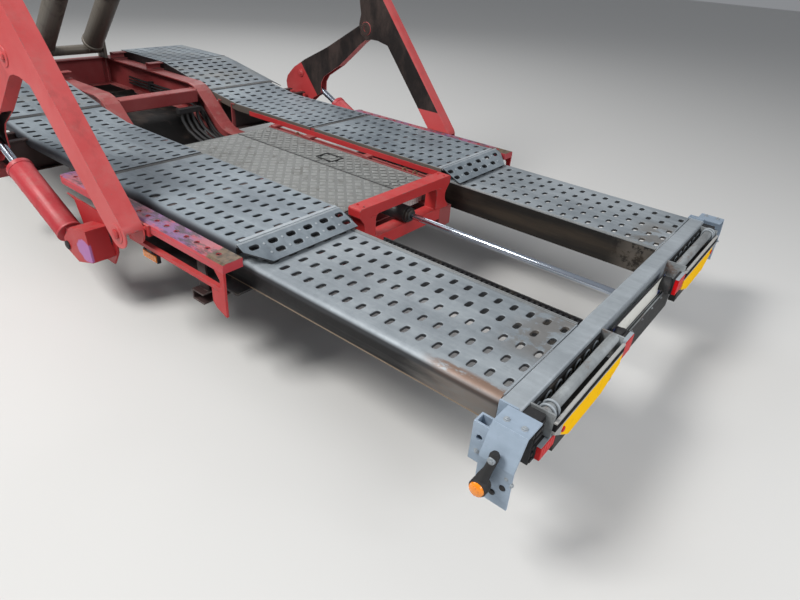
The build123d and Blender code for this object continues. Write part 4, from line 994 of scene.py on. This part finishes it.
# The belly plate is a near-black sheet: partly a dark underbody, partly painted shade
BELLY = ((0.105, -0.128), (1.3, -0.128), (1.385, -0.15), (1.54, -0.275), (1.64, -0.305), (2.06, -0.305))
belly = Piece().prism("Y", -0.3, 0.3, [*BELLY, *((x - 0.003, z - 0.004) for x, z in reversed(BELLY))])
for x, z in ((0.45, -0.128), (0.9, -0.128), (1.8, -0.305)):
    belly.prism("Y", -0.3, 0.3, ((x, z), (x + 0.012, z + 0.02), (x + 0.048, z + 0.02), (x + 0.06, z)))
belly.done("belly_plate", "chassis", "pan")
hoses = Piece()
for n in range(4):
    y = 0.12 + 0.045 * n
    hoses.tube([(1.48, y, -0.075), (1.5, y, -0.13), (1.545, y + 0.01, -0.195), (1.625, y + 0.02, -0.235),
                (1.75, y + 0.015, -0.258), (2.05, y, -0.27)], 0.0125, 10)
hoses.box(1.455, 1.505, 0.095, 0.285, -0.08, -0.045)
hoses.box(1.8, 1.84, 0.095, 0.3, -0.292, -0.245)
hoses.done("neck_hoses", "chassis", "rubber", 0.002)

# Cable chain, link by link
low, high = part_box("cable_chain")
chain = Piece()
LINK = 0.0252
for k in range(int((high.x - low.x) / LINK)):
    x = high.x - LINK * (k + 1)
    for y in (low.y, high.y - 0.007):
        chain.box(x + 0.0006, x + LINK - 0.0006, y, y + 0.007, low.z + 0.001, high.z - 0.001)
        chain.box(x - 0.003, x + 0.006, y + 0.0015, y + 0.0055, low.z + 0.012, high.z - 0.012)
    for z in (low.z, high.z - 0.016):
        chain.box(x + 0.0065, x + LINK - 0.0065, low.y, high.y, z, z + 0.007)
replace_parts(chain.done("chain_links", "extension", "chain", 0.0006), "cable_chain")
tray = Piece().box(low.x, high.x, high.y + 0.0005, high.y + 0.0035, low.z - 0.004, high.z - 0.018)
tray.box(low.x, high.x, low.y, high.y + 0.0035, low.z - 0.004, low.z - 0.0005)
tray.done("chain_tray", "extension", "bar")

# Rear end: rims of the panels' holes with dark discs in them as painted shade, and clamps of the round bars
BAR_X, BAR_Z, LOOP = 5.062, -0.1, 0.0262
rings, centres = Piece(), Piece()
for _, side in SIDES:
    rings.side = centres.side = side
    for n in range(7):
        place = (5.018, 0.455 + 0.0775 * n, -0.131)
        rings.lathe(place, REAR, ring(-0.001, 0.0045, 0.0205, 0.0265), 28, True)
        # Dark discs fill the holes: painted shade
        centres.lathe(place, REAR, ((-0.001, 0.0207), (0.0006, 0.0207)), 28)
rings.done("panel_rims", "extension", "zinc")
centres.done("panel_hole_shade", "extension", "rubber")

clamps = Piece()
for _, clamps.side in SIDES:
    for y in (0.918, 0.945):
        for way in (-1, 1):
            clamps.bolt((BAR_X + way * LOOP, y, BAR_Z - 0.036), DOWN, 0.008)
        loop = [(BAR_X - LOOP, y, BAR_Z - 0.04)]
        loop += [(BAR_X + x, y, BAR_Z + z) for x, z in arc((0, 0), LOOP, 180, 0, 10)]
        clamps.tube(loop + [(BAR_X + LOOP, y, BAR_Z - 0.04)], 0.005, 8)
    for reach, bottom, top in ((0.036, 0.036, 0.026), (0.026, 0.027, 0.018)):
        clamps.box(BAR_X - reach, BAR_X + reach, 0.906, 0.957, BAR_Z - bottom, BAR_Z - top)
clamps.done("bar_clamps", "extension", "zinc", 0.001)

# Lamps on the boards: rear face, inner side, lower edge and height
LAMPS = ((5.088, 0.287, -0.19, 0.08), (5.08, 0.915, -0.237, 0.057))
cases, lenses, frames, reflectors = Piece(), Piece(), Piece(), Piece()
for _, side in SIDES:
    cases.side = lenses.side = frames.side = reflectors.side = side
    for x, y, z, tall in LAMPS:
        cases.box(x - 0.011, x + 0.001, y, y + 0.105, z, z + tall)
        frames.box(x, x + 0.0165, y + 0.001, y + 0.104, z + tall - 0.0025, z + tall)
        for k in range(5):
            start = y + 0.001 + 0.0206 * k
            lenses.box(x, x + 0.0185, start, start + 0.0204, z + 0.001, z + tall - 0.003)
    reflectors.lathe((5.109, 0.897, -0.176), REAR, ((-0.001, 0.011), (0.003, 0.011), (0.005, 0.008)), 20)
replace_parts(cases.done("lamp_cases", "extension", "rubber", 0.002), "board_lamps")
lenses.done("lamp_lenses", "extension", "lens", 0.0028)
frames.done("lamp_frames", "extension", "zinc", 0.001)
reflectors.done("board_reflectors", "extension", "lens")

# Rim of the number plate and the two domes beside it
RIM_X = (5.0335, 5.0365)
rim = Piece()
for z in (-0.2165, -0.1095):
    rim.box(*RIM_X, -0.3295, 0.3295, z, z + 0.004)
for y in (-0.3295, 0.3255):
    rim.box(*RIM_X, y, y + 0.004, -0.2165, -0.1055)
rim.done("plate_rim", "extension", "rubber", 0.001)
DOME = ((-0.014, 0.0375), (-0.006, 0.0382), (0.003, 0.0355), (0.009, 0.028), (0.012, 0.016), (0.013, 0.004))
buffers = Piece()
for y in (-0.29, 0.29):
    buffers.lathe((5.068, y, -0.15), REAR, DOME, 32)
buffers.done("buffer_domes", "extension", "rubber")

# Stiff rubber board that hangs under the number plate, with its top rail
skirt = Piece().box(5.038, 5.048, -0.52, 0.52, -0.372, -0.2155)
skirt.done("lower_skirt", "extension", "rubber", 0.0025)
rail = Piece().box(5.036, 5.0505, -0.522, 0.522, -0.2195, -0.2155)
for n in range(8):
    rail.bolt((5.048, -0.455 + 0.13 * n, -0.24), REAR, 0.006)
rail.done("lower_skirt_rail", "extension", "bar")

# Rubber: a shelf under each round bar, ribbed blocks at the beam's ends, and plugs in the end brackets
blocks = Piece()
for _, blocks.side in SIDES:
    blocks.box(5.0175, 5.0975, 0.402, 0.955, -0.193, -0.186)
    blocks.box(5.008, 5.07, 0.974, 1.034, -0.262, -0.086)
    for k in range(6):
        z = -0.252 + 0.028 * k
        blocks.box(5.066, 5.0755, 0.978, 1.03, z, z + 0.014)
    for x, z in ((5.063, -0.245), (5.033, -0.285)):
        blocks.lathe((x, 1.168, z), OUT, ((0, 0.0105), (0.0125, 0.0105), (0.0145, 0.008)), 20)
blocks.done("rubber_blocks", "extension", "rubber", 0.003)

# End brackets: bolts and nuts
FIXINGS = (
    ((5.0, 1.1, -0.066), UP, 0.01), ((5.06, 1.1, -0.066), UP, 0.01), ((5.07, 1.1755, -0.2), OUT, 0.009),
    ((5.0875, 1.1785, -0.215), REAR, 0.008), ((4.942, 1.1395, -0.205), OUT, 0.009),
)
fixings = Piece()
for _, fixings.side in SIDES:
    for place, way, size in FIXINGS:
        fixings.bolt(place, way, size)
fixings.done("bracket_bolts", "extension", "zinc")

# Marker lamps on rubber arms
low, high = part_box("marker_lamps")
x, y, z, top = (low.x + high.x) / 2, high.y - 0.068, low.z + 0.026, high.z
# The arm's course as (rearward, outward, height), its radii, and the turned profiles of lamp and lenses
ARM = ((0.015, 0.008, top - 0.002), (0.015, 0.009, top - 0.012), (0.012, 0.012, top - 0.04),
       (0.007, 0.018, top - 0.068), (0, 0.028, z + 0.03), (0, 0.036, z + 0.01))
ARM_RADII = (0.011, 0.0165, 0.015, 0.015, 0.02, 0.024)
SHELL = ((0, 0.018), (0.004, 0.026), (0.012, 0.0295), (0.04, 0.0298), (0.044, 0.0275))
AMBER = ((0, 0.0255), (0.006, 0.0245), (0.01, 0.0195), (0.0125, 0.009), (0.013, 0.001))
RED = ((0, 0.0165), (0.0045, 0.016), (0.0062, 0.011), (0.0068, 0.002))
RIB_STEP = 0.0072
arms, amber, red, washers = Piece(), Piece(), Piece(), Piece()
for _, side in SIDES:
    arms.side = amber.side = red.side = washers.side = side
    arms.tube([(x + back, y + out, height) for back, out, height in ARM], ARM_RADII, 18)
    arms.lathe((x, y + 0.012, z), OUT, SHELL, 36)
    amber.lathe((x, y + 0.055, z), OUT, AMBER, 36)
    for k in range(-2, 3):
        reach = (0.0205 ** 2 - (RIB_STEP * k) ** 2) ** 0.5 - 0.004
        rib_x, rib_y = x + RIB_STEP * k, y + 0.0665 - 0.0012 * k * k
        amber.tube([(rib_x, rib_y, z - reach), (rib_x, rib_y, z + reach)], 0.0016, 6)
    red.lathe((x + 0.0195, y + 0.034, z), REAR, RED, 24)
    screw = (x + 0.014, y + 0.026, top - 0.022)
    washers.lathe(screw, OUT, ((-0.004, 0.0125), (0.002, 0.0125), (0.003, 0.0115)), 20)
    washers.lathe(screw, OUT, ((0, 0.0065), (0.006, 0.0065), (0.007, 0.005)), 6)
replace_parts(arms.done("marker_arms", "extension", "rubber"), "marker_lamps")
amber.done("marker_amber", "extension", "amber")
red.done("marker_red", "extension", "lens")
washers.done("marker_washers", "extension", "zinc")

# Floor and light
bm = bmesh.new()
bmesh.ops.create_grid(bm, x_segments=1, y_segments=1, size=40, matrix=Matrix.Translation((2.5, 0, FLOOR)))
floor_data = bpy.data.meshes.new("floor")
bm.to_mesh(floor_data)
bm.free()
floor = bpy.data.objects.new("floor", floor_data)
scene.collection.objects.link(floor)
s = Shader("floor", roughness=0.85)
s.surface.inputs["Base Color"].default_value = (0.62, 0.62, 0.61, 1)
floor.data.materials.append(s.material)
floor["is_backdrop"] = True


def lamp(name, place, target, size, power, colour=(1, 1, 1)):
    """A square softbox that points at a place."""
    light = bpy.data.lights.new(name, "AREA")
    light.shape = "SQUARE"
    light.size = size
    light.energy = power
    light.color = colour
    made = bpy.data.objects.new(name, light)
    made.location = place
    made.rotation_mode = "QUATERNION"
    made.rotation_quaternion = (Vector(place) - Vector(target)).to_track_quat("Z", "Y")
    scene.collection.objects.link(made)


MIDDLE = (2.8, 0, 0)
lamp("key", (0.8, -5.2, 6.6), MIDDLE, 3.0, 760, (1.0, 0.98, 0.95))
lamp("fill", (9.5, -1.0, 3.6), MIDDLE, 4.0, 230, (0.97, 0.98, 1.0))
lamp("rim", (-3.5, 4.5, 5.5), MIDDLE, 4.0, 160)

world = bpy.data.worlds.new("world")
world.use_nodes = True
scene.world = world
ground = world.node_tree.nodes["Background"]
ground.inputs["Color"].default_value = (0.92, 0.95, 1.0, 1)
ground.inputs["Strength"].default_value = 0.27

low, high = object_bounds()
